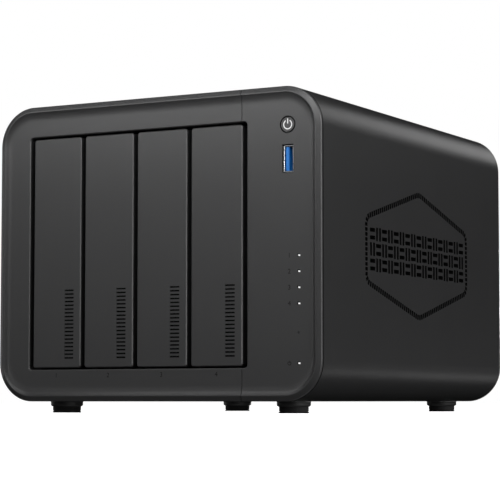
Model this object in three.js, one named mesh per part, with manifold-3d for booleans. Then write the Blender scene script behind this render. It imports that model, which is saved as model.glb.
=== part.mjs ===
// A four-bay desktop network-storage enclosure: a moulded sleeve on four feet, a two-piece front bezel, four
// sliding drive trays with hinged pull levers, a drive cage, circuit boards, a rear fan and a rear panel.
// Millimetres, +Z up. The origin is on the floor under the middle of the case; the front faces -Y.

import * as THREE from "three";
import { mergeVertices } from "three/addons/utils/BufferGeometryUtils.js";
import Module from "manifold-3d";

// ---------------------------------------------------------------- driving dimensions

const WIDTH = 177.8;
const DEPTH = 219;
const HEIGHT = 150.1;
const FOOT_HEIGHT = 5.5;
const CORNER_RADIUS = 19;
const WALL = 2.6;
const SEAM = 0.3; // the gap left between two mouldings that meet

const FRONT = -DEPTH / 2;
const REAR = DEPTH / 2;
const CASE_MID = (HEIGHT + FOOT_HEIGHT) / 2;
const CASE_HEIGHT = HEIGHT - FOOT_HEIGHT;
const THROUGH = 400; // longer than the object, for a cut that goes right through

// Front bezel: a raised rim, chamfered outside and sloping inside to a sunken flat face.
const RIM_CHAMFER = 2.4;
const RIM_CHAMFER_DEPTH = 1.2;
const RIM_CREST = 0.4;
const RIM_SLOPE = 5;
const FACE_SUNK = 1.5;
const FACE_THICKNESS = 3;
const BEZEL_LIP = 2.5; // depth of the full-width part in front of the sleeve
const BEZEL_DEPTH = 12;
const PANEL_SEAM_X = 47.5;
const FACE = FRONT + FACE_SUNK;
const FACE_BACK = FACE + FACE_THICKNESS;
const BEZEL_BACK = FRONT + BEZEL_DEPTH;
const SLEEVE_FRONT = FRONT + BEZEL_LIP + SEAM;

// Drive bays.
const BAY_COUNT = 4;
const BAY_PITCH = 29.8;
const BAY_CENTRE_X = -10.8;
const BAY_WIDTH = 121.6;
const BAY_BOTTOM = 20.9;
const BAY_TOP = 134.9;
const BAY_CORNER = 2.5;
const BAY_HEIGHT = BAY_TOP - BAY_BOTTOM;
const BAY_MID_Z = (BAY_TOP + BAY_BOTTOM) / 2;
const BAY_LEFT = BAY_CENTRE_X - BAY_WIDTH / 2;
const BAY_RIGHT = BAY_CENTRE_X + BAY_WIDTH / 2;

// Trays. Each holds one 3.5 inch drive, 147 x 101.6 x 26.1 mm, standing on its long edge.
const LEVER_WIDTH = 27.4;
const LEVER_BOTTOM = 21.7;
const LEVER_TOP = 133.8;
const LEVER_DEPTH = 6.4;
const LEVER_SKIN = 2.4;
const LEVER_FOOT = 7.2; // height of the solid block the pin goes through
const LEVER_SIDE = 1.6;
const LEVER_BEVEL = 0.7;
const PIN_RADIUS = 0.9;
const PIN_Y = FACE + 2.6;
const PIN_Z = LEVER_BOTTOM + 4;
const EAR_RADIUS = 1.6;
const EAR_WIDTH = 4.4;
const EAR_OFFSET = 8;
const CARRIER_HALF = 13.6;
const CARRIER_FRONT = FRONT + 10.2;
const CARRIER_WALL = 3;
const CARRIER_BOTTOM = LEVER_BOTTOM + 1;
const CARRIER_TOP = LEVER_TOP - 0.9;
const CARRIER_REAR = 52;
const RAIL_HEIGHT = 3.4;
const SIDE_PLATE = 0.9;

// Cage and boards.
const CAGE_WALL = 2;
const CAGE_FRONT = BEZEL_BACK + SEAM;
const CAGE_REAR = 59.4;
const BOARD = 1.6;
const BACKPLANE_Y = 60;
const MAIN_BOARD_X = 58.1;
const FRONT_BOARD_Y = FRONT + 17;
const CONNECTOR_OFFSET = -4; // a drive connector's middle, from its tray's middle
const CONNECTOR_RAISE = 34; // and from the bottom of the bay
const MAIN_BOARD_Y = [-68, 102];
const MAIN_BOARD_Z = [24, 130];
const HEATSINK_Y = [8, 52];
const HEATSINK_Z = [56, 100];
const FIN_COUNT = 8;
const FIN_THICKNESS = 1.3;
const MEMORY_Z = [40, 107.6];

// Front controls.
const BUTTON_X = 71.4;
const BUTTON_Z = 132.2;
const BUTTON_RADIUS = 3.5;
const SIGN_RADIUS = 2.1;
const SIGN_STROKE = 0.6;
const SIGN_GAP = 0.55; // half the angle the ring leaves open at its top
const USB_X = 71.5;
const USB_Z = 116.5;
const USB_LONG = 12.8;
const USB_SHORT = 5.7;
const LED_X = 77.2;
const LED_RADIUS = 0.5;
const BAY_LED_TOP_Z = 71.9;
const BAY_LED_PITCH = 7.32;
const SPARE_LED_Z = 36.7;
const POWER_LED_Z = 22.8;

// Rear panel, fan and ports.
const REAR_PANEL_FRONT = REAR - 5;
const REAR_PANEL_BACK = REAR - 2.5;
const FAN_SIZE = 120;
const FAN_THICK = 25;
const FAN_X = -12;
const FAN_REAR = REAR_PANEL_FRONT - SEAM;
const FAN_BORE = 58;
const FAN_HOLES = 105;
const GRILLE_RADIUS = 55;
const GRILLE_SLOT = 12;
const PORT_BOARD_FACE = MAIN_BOARD_X + BOARD + 0.2;
const SCREW_X = 76.4;
const SCREW_FROM_EDGE = 12.5;
const SCREW_RADIUS = 1.5;
const LOCK_SLOT = { x: 70.1, z: 25.5, wide: 7, tall: 3 };

// Side vents: a stretched hexagon of slots round a field of staggered slots.
const VENT_HALF_WIDTH = 60;
const VENT_HALF_HEIGHT = 29.2;
const VENT_TICK = 3;
const FIELD_WIDTH = 108;
const FIELD_HEIGHT = 20;

// Feet.
const FOOT_X = 63.4;
const FOOT_FRONT_Y = FRONT + 22.7;
const FOOT_REAR_Y = FRONT + 196.3;
const CUP_RADIUS = 8.05;
const PAD_RADIUS = 7.05;
const PAD_HEIGHT = 2.8;

// ---------------------------------------------------------------- solids

const wasm = await Module();
wasm.setup();

function solidOf(geometry) {
  const bare = geometry.index ? geometry.toNonIndexed() : geometry.clone();
  bare.deleteAttribute("normal");
  bare.deleteAttribute("uv");
  const merged = mergeVertices(bare, 1e-4);
  return new wasm.Manifold(
    new wasm.Mesh({
      numProp: 3,
      vertProperties: new Float32Array(merged.attributes.position.array),
      triVerts: new Uint32Array(merged.index.array),
    }),
  );
}

function geometryOf(solid) {
  const mesh = solid.getMesh();
  const geometry = new THREE.BufferGeometry();
  geometry.setAttribute("position", new THREE.BufferAttribute(new Float32Array(mesh.vertProperties), 3));
  geometry.setIndex(new THREE.BufferAttribute(new Uint32Array(mesh.triVerts), 1));
  geometry.computeVertexNormals();
  return geometry;
}

const join = (first, ...others) => others.reduce((sum, solid) => sum.add(solid), first);
const cut = (first, ...others) => others.reduce((rest, solid) => rest.subtract(solid), first);

// A box from its three ranges.
function box([x0, x1], [y0, y1], [z0, z1]) {
  const geometry = new THREE.BoxGeometry(x1 - x0, y1 - y0, z1 - z0);
  return solidOf(geometry.translate((x0 + x1) / 2, (y0 + y1) / 2, (z0 + z1) / 2));
}

// A box given by its centre and its full sizes across the front face, and by its range in depth.
const block = (x, z, width, height, depths) =>
  box([x - width / 2, x + width / 2], depths, [z - height / 2, z + height / 2]);

// A rod along one axis. The two numbers of at are its centre on the other two axes, in X, Y, Z order.
function rod(axis, radius, [from, to], at, sides = 16) {
  const geometry = new THREE.CylinderGeometry(radius, radius, to - from, sides);
  const middle = (from + to) / 2;
  if (axis === "x") geometry.rotateZ(Math.PI / 2).translate(middle, at[0], at[1]);
  if (axis === "y") geometry.translate(at[0], middle, at[1]);
  if (axis === "z") geometry.rotateX(Math.PI / 2).translate(at[0], at[1], middle);
  return solidOf(geometry);
}

// A rectangle with round corners, centred on the origin.
function roundedRectangle(width, height, radius) {
  const x = width / 2 - radius;
  const y = height / 2 - radius;
  const shape = new THREE.Shape();
  shape.absarc(x, y, radius, 0, Math.PI / 2);
  shape.absarc(-x, y, radius, Math.PI / 2, Math.PI);
  shape.absarc(-x, -y, radius, Math.PI, 1.5 * Math.PI);
  shape.absarc(x, -y, radius, 1.5 * Math.PI, 2 * Math.PI);
  return shape;
}

// A shape drawn in the X-Z plane, extruded from one depth to another. A bevel widens it by bevel.size over
// bevel.depth at each end, inside that range.
function slab(shape, [y0, y1], { x = 0, z = 0, bevel = null, segments = 3 } = {}) {
  const bevelDepth = bevel ? bevel.depth : 0;
  const geometry = new THREE.ExtrudeGeometry(shape, {
    depth: y1 - y0 - 2 * bevelDepth,
    curveSegments: segments,
    bevelEnabled: Boolean(bevel),
    bevelThickness: bevelDepth,
    bevelSize: bevel ? bevel.size : 0,
    bevelSegments: 1,
  });
  return solidOf(geometry.rotateX(Math.PI / 2).translate(x, y1 - bevelDepth, z));
}

// The case's outline, moved inwards by inset, as a slab.
function caseSlab(inset, depths, options = {}) {
  const shape = roundedRectangle(WIDTH - 2 * inset, CASE_HEIGHT - 2 * inset, CORNER_RADIUS - inset);
  return slab(shape, depths, { z: CASE_MID, ...options });
}

const part = new THREE.Group();

const MATERIALS = {
  shell: new THREE.MeshStandardMaterial({ color: 0x2c2c2d, roughness: 0.62, metalness: 0 }),
  bezel: new THREE.MeshStandardMaterial({ color: 0x38383a, roughness: 0.5, metalness: 0 }),
  tray: new THREE.MeshStandardMaterial({ color: 0x3a3a3c, roughness: 0.5, metalness: 0 }),
  frame: new THREE.MeshStandardMaterial({ color: 0x232324, roughness: 0.7, metalness: 0 }),
  rubber: new THREE.MeshStandardMaterial({ color: 0x141414, roughness: 0.85, metalness: 0 }),
  board: new THREE.MeshStandardMaterial({ color: 0x17402a, roughness: 0.5, metalness: 0 }),
  connector: new THREE.MeshStandardMaterial({ color: 0x161616, roughness: 0.55, metalness: 0 }),
  steel: new THREE.MeshStandardMaterial({ color: 0xb4b7ba, roughness: 0.3, metalness: 1 }),
  aluminium: new THREE.MeshStandardMaterial({ color: 0x9a9da1, roughness: 0.4, metalness: 1 }),
  blue: new THREE.MeshStandardMaterial({ color: 0x1f6fc4, roughness: 0.4, metalness: 0 }),
  lamp: new THREE.MeshStandardMaterial({ color: 0xf4f6f8, roughness: 0.3, metalness: 0 }),
};

function addMesh(name, solid, material) {
  const mesh = new THREE.Mesh(geometryOf(solid), MATERIALS[material]);
  mesh.name = name;
  part.add(mesh);
}

// ---------------------------------------------------------------- sleeve, bezel and feet

// The slots of one side vent, as cuts through both side walls at once.
function ventSlots() {
  const slot = (y, z, long, tall) => {
    const middle = CASE_MID + z;
    return box([-THROUGH, THROUGH], [y - long / 2, y + long / 2], [middle - tall / 2, middle + tall / 2]);
  };
  const slots = [];
  const ticksPerSlope = 4;
  for (const side of [-1, 1]) {
    for (const half of [-1, 1]) {
      for (let i = 0; i < ticksPerSlope; i += 1) {
        const along = (i + 0.5) / ticksPerSlope;
        const y = side * VENT_HALF_WIDTH * along;
        const z = half * VENT_HALF_HEIGHT * (1 - along / 2);
        slots.push(slot(y, z, 7, VENT_TICK));
      }
    }
    for (const z of [-5, 5]) slots.push(slot(side * VENT_HALF_WIDTH, z, VENT_TICK, 5));
  }
  const rows = 4;
  const columns = 4;
  for (let row = 0; row < rows; row += 1) {
    const z = (row - (rows - 1) / 2) * (FIELD_HEIGHT / rows);
    const shift = row % 2 ? 0.25 : -0.25;
    for (let column = 0; column < columns; column += 1) {
      const y = (column - (columns - 1) / 2 + shift) * (FIELD_WIDTH / columns);
      slots.push(slot(y, z, 18, 2));
    }
  }
  return slots;
}

// Where the four rear screws sit, in X and Z.
const screwPlaces = [-1, 1].flatMap((side) =>
  [FOOT_HEIGHT + SCREW_FROM_EDGE, HEIGHT - SCREW_FROM_EDGE].map((z) => [side * SCREW_X, z]),
);

function outerShell() {
  const depths = [SLEEVE_FRONT, REAR];
  const bore = caseSlab(WALL, [FRONT - 1, REAR + 1], { segments: 4 });
  const tube = cut(caseSlab(0, depths, { segments: 4 }), bore);
  const bossDepths = [REAR_PANEL_FRONT - 14, REAR_PANEL_FRONT - SEAM];
  const bosses = screwPlaces.map(([x, z]) => {
    const outwards = Math.sign(x);
    const rib = box([x, x + outwards * 11].sort((a, b) => a - b), bossDepths, [z - 1.2, z + 1.2]);
    return join(rod("y", 4, bossDepths, [x, z], 10), rib);
  });
  const pilots = screwPlaces.map(([x, z]) => rod("y", SCREW_RADIUS + 0.2, [80, REAR], [x, z], 8));
  return cut(join(tube, ...bosses), ...pilots, ...ventSlots());
}

// The whole bezel before it is split at the seam.
function bezelBlank() {
  const lip = caseSlab(RIM_CHAMFER, [FRONT, FRONT + BEZEL_LIP + RIM_CHAMFER_DEPTH], {
    bevel: { size: RIM_CHAMFER, depth: RIM_CHAMFER_DEPTH },
  });
  const behindLip = box([-THROUGH, THROUGH], [FRONT + BEZEL_LIP, THROUGH], [-THROUGH, THROUGH]);
  const spigot = caseSlab(WALL + SEAM, [FRONT + BEZEL_LIP - 1, BEZEL_BACK]);
  const dish = caseSlab(RIM_CHAMFER + RIM_CREST + RIM_SLOPE, [FRONT - 4, FACE], {
    bevel: { size: RIM_SLOPE, depth: FACE_SUNK },
  });
  const hollow = caseSlab(WALL + SEAM + 2.2, [FACE_BACK, THROUGH]);
  const collar = block(BAY_CENTRE_X, BAY_MID_Z, BAY_WIDTH + 4, BAY_HEIGHT + 4, [FACE_BACK - 0.5, BEZEL_BACK]);
  const opening = slab(roundedRectangle(BAY_WIDTH, BAY_HEIGHT, BAY_CORNER), [FRONT - 1, BEZEL_BACK + 1], {
    x: BAY_CENTRE_X,
    z: BAY_MID_Z,
    segments: 2,
  });
  const body = cut(join(cut(lip, behindLip), spigot), dish, hollow);
  return cut(join(body, collar), opening);
}

// Every front lamp: one for each bay, a spare, and power.
const ledHeights = [
  ...Array.from({ length: BAY_COUNT }, (_, i) => BAY_LED_TOP_Z - i * BAY_LED_PITCH),
  SPARE_LED_Z,
  POWER_LED_Z,
];

function controlPanelCuts() {
  const depths = [FRONT - 1, FACE_BACK + 1];
  return [
    rod("y", BUTTON_RADIUS + 0.4, depths, [BUTTON_X, BUTTON_Z], 20),
    block(USB_X, USB_Z, USB_SHORT + 0.5, USB_LONG + 0.5, depths),
    ...ledHeights.map((z) => rod("y", LED_RADIUS + 0.2, depths, [LED_X, z], 6)),
  ];
}

function addBezel() {
  const blank = bezelBlank();
  const leftOfSeam = box([-THROUGH, PANEL_SEAM_X - SEAM / 2], [-THROUGH, THROUGH], [-THROUGH, THROUGH]);
  const rightOfSeam = box([PANEL_SEAM_X + SEAM / 2, THROUGH], [-THROUGH, THROUGH], [-THROUGH, THROUGH]);
  addMesh("bay_bezel", blank.intersect(leftOfSeam), "bezel");
  addMesh("control_panel", cut(blank.intersect(rightOfSeam), ...controlPanelCuts()), "bezel");
}

function addFeet() {
  const places = {
    front_left: [-FOOT_X, FOOT_FRONT_Y],
    front_right: [FOOT_X, FOOT_FRONT_Y],
    rear_left: [-FOOT_X, FOOT_REAR_Y],
    rear_right: [FOOT_X, FOOT_REAR_Y],
  };
  const studTop = PAD_HEIGHT + 1.5;
  for (const [name, at] of Object.entries(places)) {
    const cup = rod("z", CUP_RADIUS, [PAD_HEIGHT + 0.3, FOOT_HEIGHT - 0.3], at);
    const socket = rod("z", 3.3, [PAD_HEIGHT - 1, studTop + 0.3], at, 8);
    const stud = rod("z", 3, [PAD_HEIGHT - 1, studTop], at, 8);
    const pad = join(rod("z", PAD_RADIUS, [0, PAD_HEIGHT], at), stud);
    addMesh(`foot_cup_${name}`, cut(cup, socket), "frame");
    addMesh(`foot_pad_${name}`, pad, "rubber");
  }
}

// ---------------------------------------------------------------- front controls

function arcStroke(radius, stroke, from, to) {
  const shape = new THREE.Shape();
  shape.absarc(0, 0, radius + stroke / 2, from, to);
  shape.absarc(0, 0, radius - stroke / 2, to, from, true);
  return shape;
}

// The standby sign: an open ring and a bar. grow widens each stroke, to cut the pocket it sits in.
function standbySign(depths, grow = 0) {
  const stroke = SIGN_STROKE + grow;
  const ring = arcStroke(SIGN_RADIUS, stroke, Math.PI / 2 + SIGN_GAP, 2.5 * Math.PI - SIGN_GAP);
  const at = { x: BUTTON_X, z: BUTTON_Z, segments: 8 };
  const bar = block(BUTTON_X, BUTTON_Z + 1.6, stroke, 2.5 + grow, depths);
  return join(slab(ring, depths, at), bar);
}

function addPowerButton() {
  const at = [BUTTON_X, BUTTON_Z];
  const [discFront, discBack] = [FACE + 1.6, FACE + 2.4];
  const discRadius = 2.7;
  const cap = rod("y", BUTTON_RADIUS, [FACE, FACE_BACK + 1.3], at, 20);
  const flange = rod("y", BUTTON_RADIUS + 1.2, [FACE_BACK + 0.3, FACE_BACK + 1.3], at);
  const stem = rod("y", 1.5, [FACE_BACK + 1, FRONT + 10.5], at, 8);
  const signPocket = standbySign([FACE - 1, discFront + 0.1], 0.2);
  const discPocket = rod("y", discRadius + 0.2, [discFront - 0.1, discBack + 0.1], at, 12);
  const disc = rod("y", discRadius, [discFront, discBack], at, 12);
  addMesh("power_button", cut(join(cap, flange, stem), signPocket, discPocket), "bezel");
  addMesh("power_sign_lens", join(standbySign([FACE, discFront + 0.2]), disc), "lamp");
}

function addFrontElectronics() {
  const board = block(BUTTON_X, CASE_MID, 22, 116, [FRONT_BOARD_Y, FRONT_BOARD_Y + BOARD]);
  addMesh("front_io_board", board, "board");

  const switchBody = block(BUTTON_X, BUTTON_Z, 6, 6, [FRONT + 12.8, FRONT_BOARD_Y]);
  const plunger = rod("y", 1.5, [FRONT + 12, FRONT + 13], [BUTTON_X, BUTTON_Z], 8);
  addMesh("power_switch", join(switchBody, plunger), "connector");

  const backBar = [FACE_BACK + 6, FACE_BACK + 8];
  const barTop = ledHeights[0] + 2;
  const barBottom = POWER_LED_Z - 2;
  const bar = block(LED_X, (barTop + barBottom) / 2, 2, barTop - barBottom, backBar);
  const prongs = ledHeights.map((z) => rod("y", LED_RADIUS, [FACE, backBar[0] + 0.5], [LED_X, z], 6));
  addMesh("status_light_pipe", join(bar, ...prongs), "lamp");

  const shellDepths = [FACE + 0.2, FRONT_BOARD_Y];
  const metal = block(USB_X, USB_Z, USB_SHORT, USB_LONG, shellDepths);
  const inside = block(USB_X, USB_Z, USB_SHORT - 0.7, USB_LONG - 0.7, [FRONT - 1, FRONT_BOARD_Y - 0.5]);
  addMesh("usb_front_shell", cut(metal, inside), "steel");
  const base = block(USB_X, USB_Z, USB_SHORT - 1, USB_LONG - 1, [FRONT + 12, FRONT_BOARD_Y - 0.8]);
  const tongue = block(USB_X - 0.8, USB_Z, 1.9, USB_LONG - 1.8, [FACE + 1.4, FRONT + 12.5]);
  addMesh("usb_front_tongue", join(base, tongue), "blue");
}

// ---------------------------------------------------------------- trays

const trayX = (index) => BAY_CENTRE_X + (index - (BAY_COUNT - 1) / 2) * BAY_PITCH;

// The front of a tray: a hollow pull lever that swings out about a pin along its bottom edge.
function trayLever(x) {
  const bevel = LEVER_BEVEL;
  const height = LEVER_TOP - LEVER_BOTTOM;
  const back = FACE + LEVER_DEPTH;
  const faceShape = roundedRectangle(LEVER_WIDTH - 2 * bevel, height - 2 * bevel, 0.8);
  const middle = (LEVER_TOP + LEVER_BOTTOM) / 2;
  const blank = slab(faceShape, [FACE, back + bevel], {
    x,
    z: middle,
    bevel: { size: bevel, depth: bevel },
    segments: 1,
  });
  const behind = block(x, middle, 2 * LEVER_WIDTH, 2 * height, [back, THROUGH]);
  const hollow = box(
    [x - LEVER_WIDTH / 2 + LEVER_SIDE, x + LEVER_WIDTH / 2 - LEVER_SIDE],
    [FACE + LEVER_SKIN, THROUGH],
    [LEVER_BOTTOM + LEVER_FOOT, LEVER_TOP - 3.6],
  );
  const ribs = [-18, 18].map((z) => block(x, middle + z, LEVER_WIDTH - 3, 1.4, [FACE + 2, back - 1.5]));
  const earSlots = [-EAR_OFFSET, EAR_OFFSET].map((side) =>
    box([x + side - 2.6, x + side + 2.6], [FACE + 0.7, THROUGH], [LEVER_BOTTOM - 1, LEVER_BOTTOM + 7]),
  );
  const pinHole = rod("x", PIN_RADIUS + 0.3, [x - 12.4, x + 12.4], [PIN_Y, PIN_Z], 8);
  const grip = Array.from({ length: 5 }, (_, i) =>
    block(x + 7.2, LEVER_BOTTOM + 7.4 + i * 6.4, 5, 2, [FACE - 1, FACE + 0.4]),
  );
  return cut(join(cut(blank, behind, hollow), ...ribs), ...earSlots, pinHole, ...grip);
}

// The sliding carrier behind the lever: a front wall, two rails and a thin side plate, round the space
// for a drive.
function trayCarrier(x) {
  const half = CARRIER_HALF;
  const wallBack = CARRIER_FRONT + CARRIER_WALL;
  const middle = (CARRIER_TOP + CARRIER_BOTTOM) / 2;
  const frontWall = box([x - half, x + half], [CARRIER_FRONT, wallBack], [CARRIER_BOTTOM, CARRIER_TOP]);
  const rail = (z0) => box([x - half, x + half], [wallBack - 1, CARRIER_REAR], [z0, z0 + RAIL_HEIGHT]);
  const plateAcross = [x - half, x - half + SIDE_PLATE];
  const sidePlate = box(plateAcross, [wallBack - 1, CARRIER_REAR], [CARRIER_BOTTOM, CARRIER_TOP]);
  const ears = [-EAR_OFFSET, EAR_OFFSET].map((side) => {
    const across = [x + side - EAR_WIDTH / 2, x + side + EAR_WIDTH / 2];
    const arm = box(across, [PIN_Y, CARRIER_FRONT + 1], [PIN_Z - EAR_RADIUS, PIN_Z + EAR_RADIUS]);
    return join(rod("x", EAR_RADIUS, across, [PIN_Y, PIN_Z], 12), arm);
  });
  const wallVents = [-32, 0, 32].map((z) => block(x, middle + z, 16, 24, [CARRIER_FRONT - 1, wallBack + 1]));
  const sideWindows = [-76, -34, 8].map((y) =>
    box([x - half - 1, x - half + SIDE_PLATE + 1], [y, y + 20], [middle - 30, middle + 30]),
  );
  const railSlots = [-62, -16].map((y) => box([x - 5, x + 5], [y, y + 34], [0, HEIGHT]));
  const pinHole = rod("x", PIN_RADIUS + 0.2, [x - half, x + half], [PIN_Y, PIN_Z], 8);
  const solid = join(frontWall, rail(CARRIER_BOTTOM), rail(CARRIER_TOP - RAIL_HEIGHT), sidePlate, ...ears);
  return cut(solid, ...wallVents, ...sideWindows, ...railSlots, pinHole);
}

// A folded leaf spring on the carrier that the top of the lever snaps against.
function catchSpring(x) {
  const top = CARRIER_TOP - 4;
  const leaf = box([x - 4, x + 4], [FACE + 4.2, FACE + 4.8], [top - 12, top - 1]);
  const foot = box([x - 4, x + 4], [FACE + 4.2, CARRIER_FRONT - 0.2], [top - 12, top - 11.4]);
  const tab = box([x - 4, x + 4], [CARRIER_FRONT - 0.8, CARRIER_FRONT - 0.2], [top - 18, top - 11.4]);
  return join(leaf, foot, tab);
}

function addTrays() {
  for (let index = 0; index < BAY_COUNT; index += 1) {
    const x = trayX(index);
    const number = index + 1;
    const pin = rod("x", PIN_RADIUS, [x - 12, x + 12], [PIN_Y, PIN_Z], 8);
    addMesh(`tray_carrier_${number}`, trayCarrier(x), "frame");
    addMesh(`tray_lever_${number}`, trayLever(x), "tray");
    addMesh(`tray_hinge_pin_${number}`, pin, "steel");
    addMesh(`tray_catch_spring_${number}`, catchSpring(x), "steel");
  }
}

// ---------------------------------------------------------------- cage and boards

function driveCage() {
  const depths = [CAGE_FRONT, CAGE_REAR];
  const outerAcross = [BAY_LEFT - CAGE_WALL, BAY_RIGHT + CAGE_WALL];
  const outer = box(outerAcross, depths, [BAY_BOTTOM - CAGE_WALL, BAY_TOP + CAGE_WALL]);
  const bays = box([BAY_LEFT, BAY_RIGHT], [-THROUGH, THROUGH], [BAY_BOTTOM, BAY_TOP]);
  const ribWidth = 1.2;
  const ribTall = 2.4;
  const ribs = [];
  for (let gap = 1; gap < BAY_COUNT; gap += 1) {
    const x = (trayX(gap - 1) + trayX(gap)) / 2;
    const across = [x - ribWidth / 2, x + ribWidth / 2];
    ribs.push(box(across, depths, [BAY_BOTTOM - 1, BAY_BOTTOM + ribTall]));
    ribs.push(box(across, depths, [BAY_TOP - ribTall, BAY_TOP + 1]));
  }
  return join(cut(outer, bays), ...ribs);
}

function addBackplane() {
  const depths = [BACKPLANE_Y, BACKPLANE_Y + BOARD];
  const board = box([BAY_LEFT, MAIN_BOARD_X - 0.4], depths, [BAY_BOTTOM + 2, BAY_TOP - 2]);
  const airSlots = Array.from({ length: BAY_COUNT }, (_, i) =>
    block(trayX(i) + 8.5, BAY_MID_Z + 6, 9, 84, [BACKPLANE_Y - 1, BACKPLANE_Y + BOARD + 1]),
  );
  addMesh("backplane_board", cut(board, ...airSlots), "board");
  for (let index = 0; index < BAY_COUNT; index += 1) {
    const x = trayX(index) + CONNECTOR_OFFSET;
    const z = BAY_BOTTOM + CONNECTOR_RAISE;
    const body = block(x, z, 5.6, 44, [BACKPLANE_Y - 6.4, BACKPLANE_Y]);
    const slot = block(x + 0.6, z, 2.2, 40, [BACKPLANE_Y - 8, BACKPLANE_Y - 2]);
    addMesh(`sata_connector_${index + 1}`, cut(body, slot), "connector");
  }
}

function addMainBoard() {
  const board = box([MAIN_BOARD_X, MAIN_BOARD_X + BOARD], MAIN_BOARD_Y, MAIN_BOARD_Z);
  addMesh("main_board", board, "board");

  const sinkFoot = PORT_BOARD_FACE + 2.4;
  const base = box([sinkFoot, sinkFoot + 2.5], HEATSINK_Y, HEATSINK_Z);
  const finPitch = (HEATSINK_Z[1] - HEATSINK_Z[0] - FIN_THICKNESS) / (FIN_COUNT - 1);
  const fins = Array.from({ length: FIN_COUNT }, (_, i) => {
    const z = HEATSINK_Z[0] + i * finPitch;
    return box([sinkFoot + 2, sinkFoot + 14], HEATSINK_Y, [z, z + FIN_THICKNESS]);
  });
  const chip = box([PORT_BOARD_FACE - 0.2, sinkFoot], [22, 38], [70, 86]);
  addMesh("heatsink", join(base, ...fins), "aluminium");
  addMesh("processor", chip, "connector");

  const memoryX = PORT_BOARD_FACE + 3;
  const [memoryLow, memoryHigh] = MEMORY_Z;
  addMesh("memory_module", box([memoryX, memoryX + 1.2], [-58, -28.4], MEMORY_Z), "board");
  const socket = box([PORT_BOARD_FACE - 0.2, memoryX + 2.6], [-28, -21], [memoryLow - 2, memoryHigh + 2]);
  const slot = box([memoryX - 0.3, memoryX + 1.5], [-29, -25], [memoryLow - 0.5, memoryHigh + 0.5]);
  addMesh("memory_socket", cut(socket, slot), "connector");
}

// ---------------------------------------------------------------- fan, rear panel and ports

function addFan() {
  const depths = [FAN_REAR - FAN_THICK, FAN_REAR];
  const cornerAt = (i, k) => [FAN_X + (i * FAN_HOLES) / 2, CASE_MID + (k * FAN_HOLES) / 2];
  const corners = [-1, 1].flatMap((i) => [-1, 1].map((k) => cornerAt(i, k)));
  const outline = roundedRectangle(FAN_SIZE, FAN_SIZE, 5);
  const square = slab(outline, depths, { x: FAN_X, z: CASE_MID, segments: 1 });
  const bore = rod("y", FAN_BORE, [0, REAR], [FAN_X, CASE_MID], 32);
  const hub = rod("y", 20, [FAN_REAR - 4, FAN_REAR - 0.4], [FAN_X, CASE_MID], 20);
  const struts = [0, 1].map((i) => {
    const bar = new THREE.BoxGeometry(2 * FAN_BORE + 2, 3, 4);
    return solidOf(bar.rotateY(Math.PI / 4 + (i * Math.PI) / 2).translate(FAN_X, FAN_REAR - 2, CASE_MID));
  });
  const holes = corners.map((at) => rod("y", 2.2, [0, REAR], at, 8));
  addMesh("fan_frame", cut(join(cut(square, bore), hub, ...struts), ...holes), "frame");

  // Seven blades, each a thin arc pitched across the airflow and run out along the radius.
  const bladeCount = 7;
  const section = arcStroke(22, 1.4, Math.PI / 2 - 0.62, Math.PI / 2 + 0.62);
  const rotorHub = rod("y", 19, [FAN_REAR - 23, FAN_REAR - 4.8], [0, 0], 20);
  const blades = Array.from({ length: bladeCount }, (_, i) => {
    const blade = new THREE.ExtrudeGeometry(section, { depth: 38, bevelEnabled: false, curveSegments: 2 });
    blade.translate(0, -20, 17).rotateZ(Math.PI / 5);
    blade.rotateY((i * 2 * Math.PI) / bladeCount).translate(0, FAN_REAR - 14, 0);
    return solidOf(blade);
  });
  addMesh("fan_rotor", join(rotorHub, ...blades).translate([FAN_X, 0, CASE_MID]), "frame");
  return corners;
}

// Each rear port: its place and its size over the board, and how far it reaches in from the rear.
const PORTS = {
  lan_port_1: { z: 118, wide: 16, tall: 13.4, deep: 19 },
  lan_port_2: { z: 99, wide: 16, tall: 13.4, deep: 19 },
  usb_rear_shell: { z: 82, wide: 13.2, tall: 6, deep: 14 },
  usb_c_port: { z: 69, wide: 9, tall: 3.4, deep: 9 },
  hdmi_port: { z: 55, wide: 15, tall: 6, deep: 12 },
  dc_jack: { z: 38, wide: 10, tall: 11, deep: 14 },
};
const portX = (port) => PORT_BOARD_FACE + port.tall / 2;
const portBody = (port, inset, depths) =>
  block(portX(port), port.z, port.tall - 2 * inset, port.wide - 2 * inset, depths);
const portDepths = (port) => [REAR_PANEL_BACK - port.deep, REAR_PANEL_BACK - 0.2];

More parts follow.
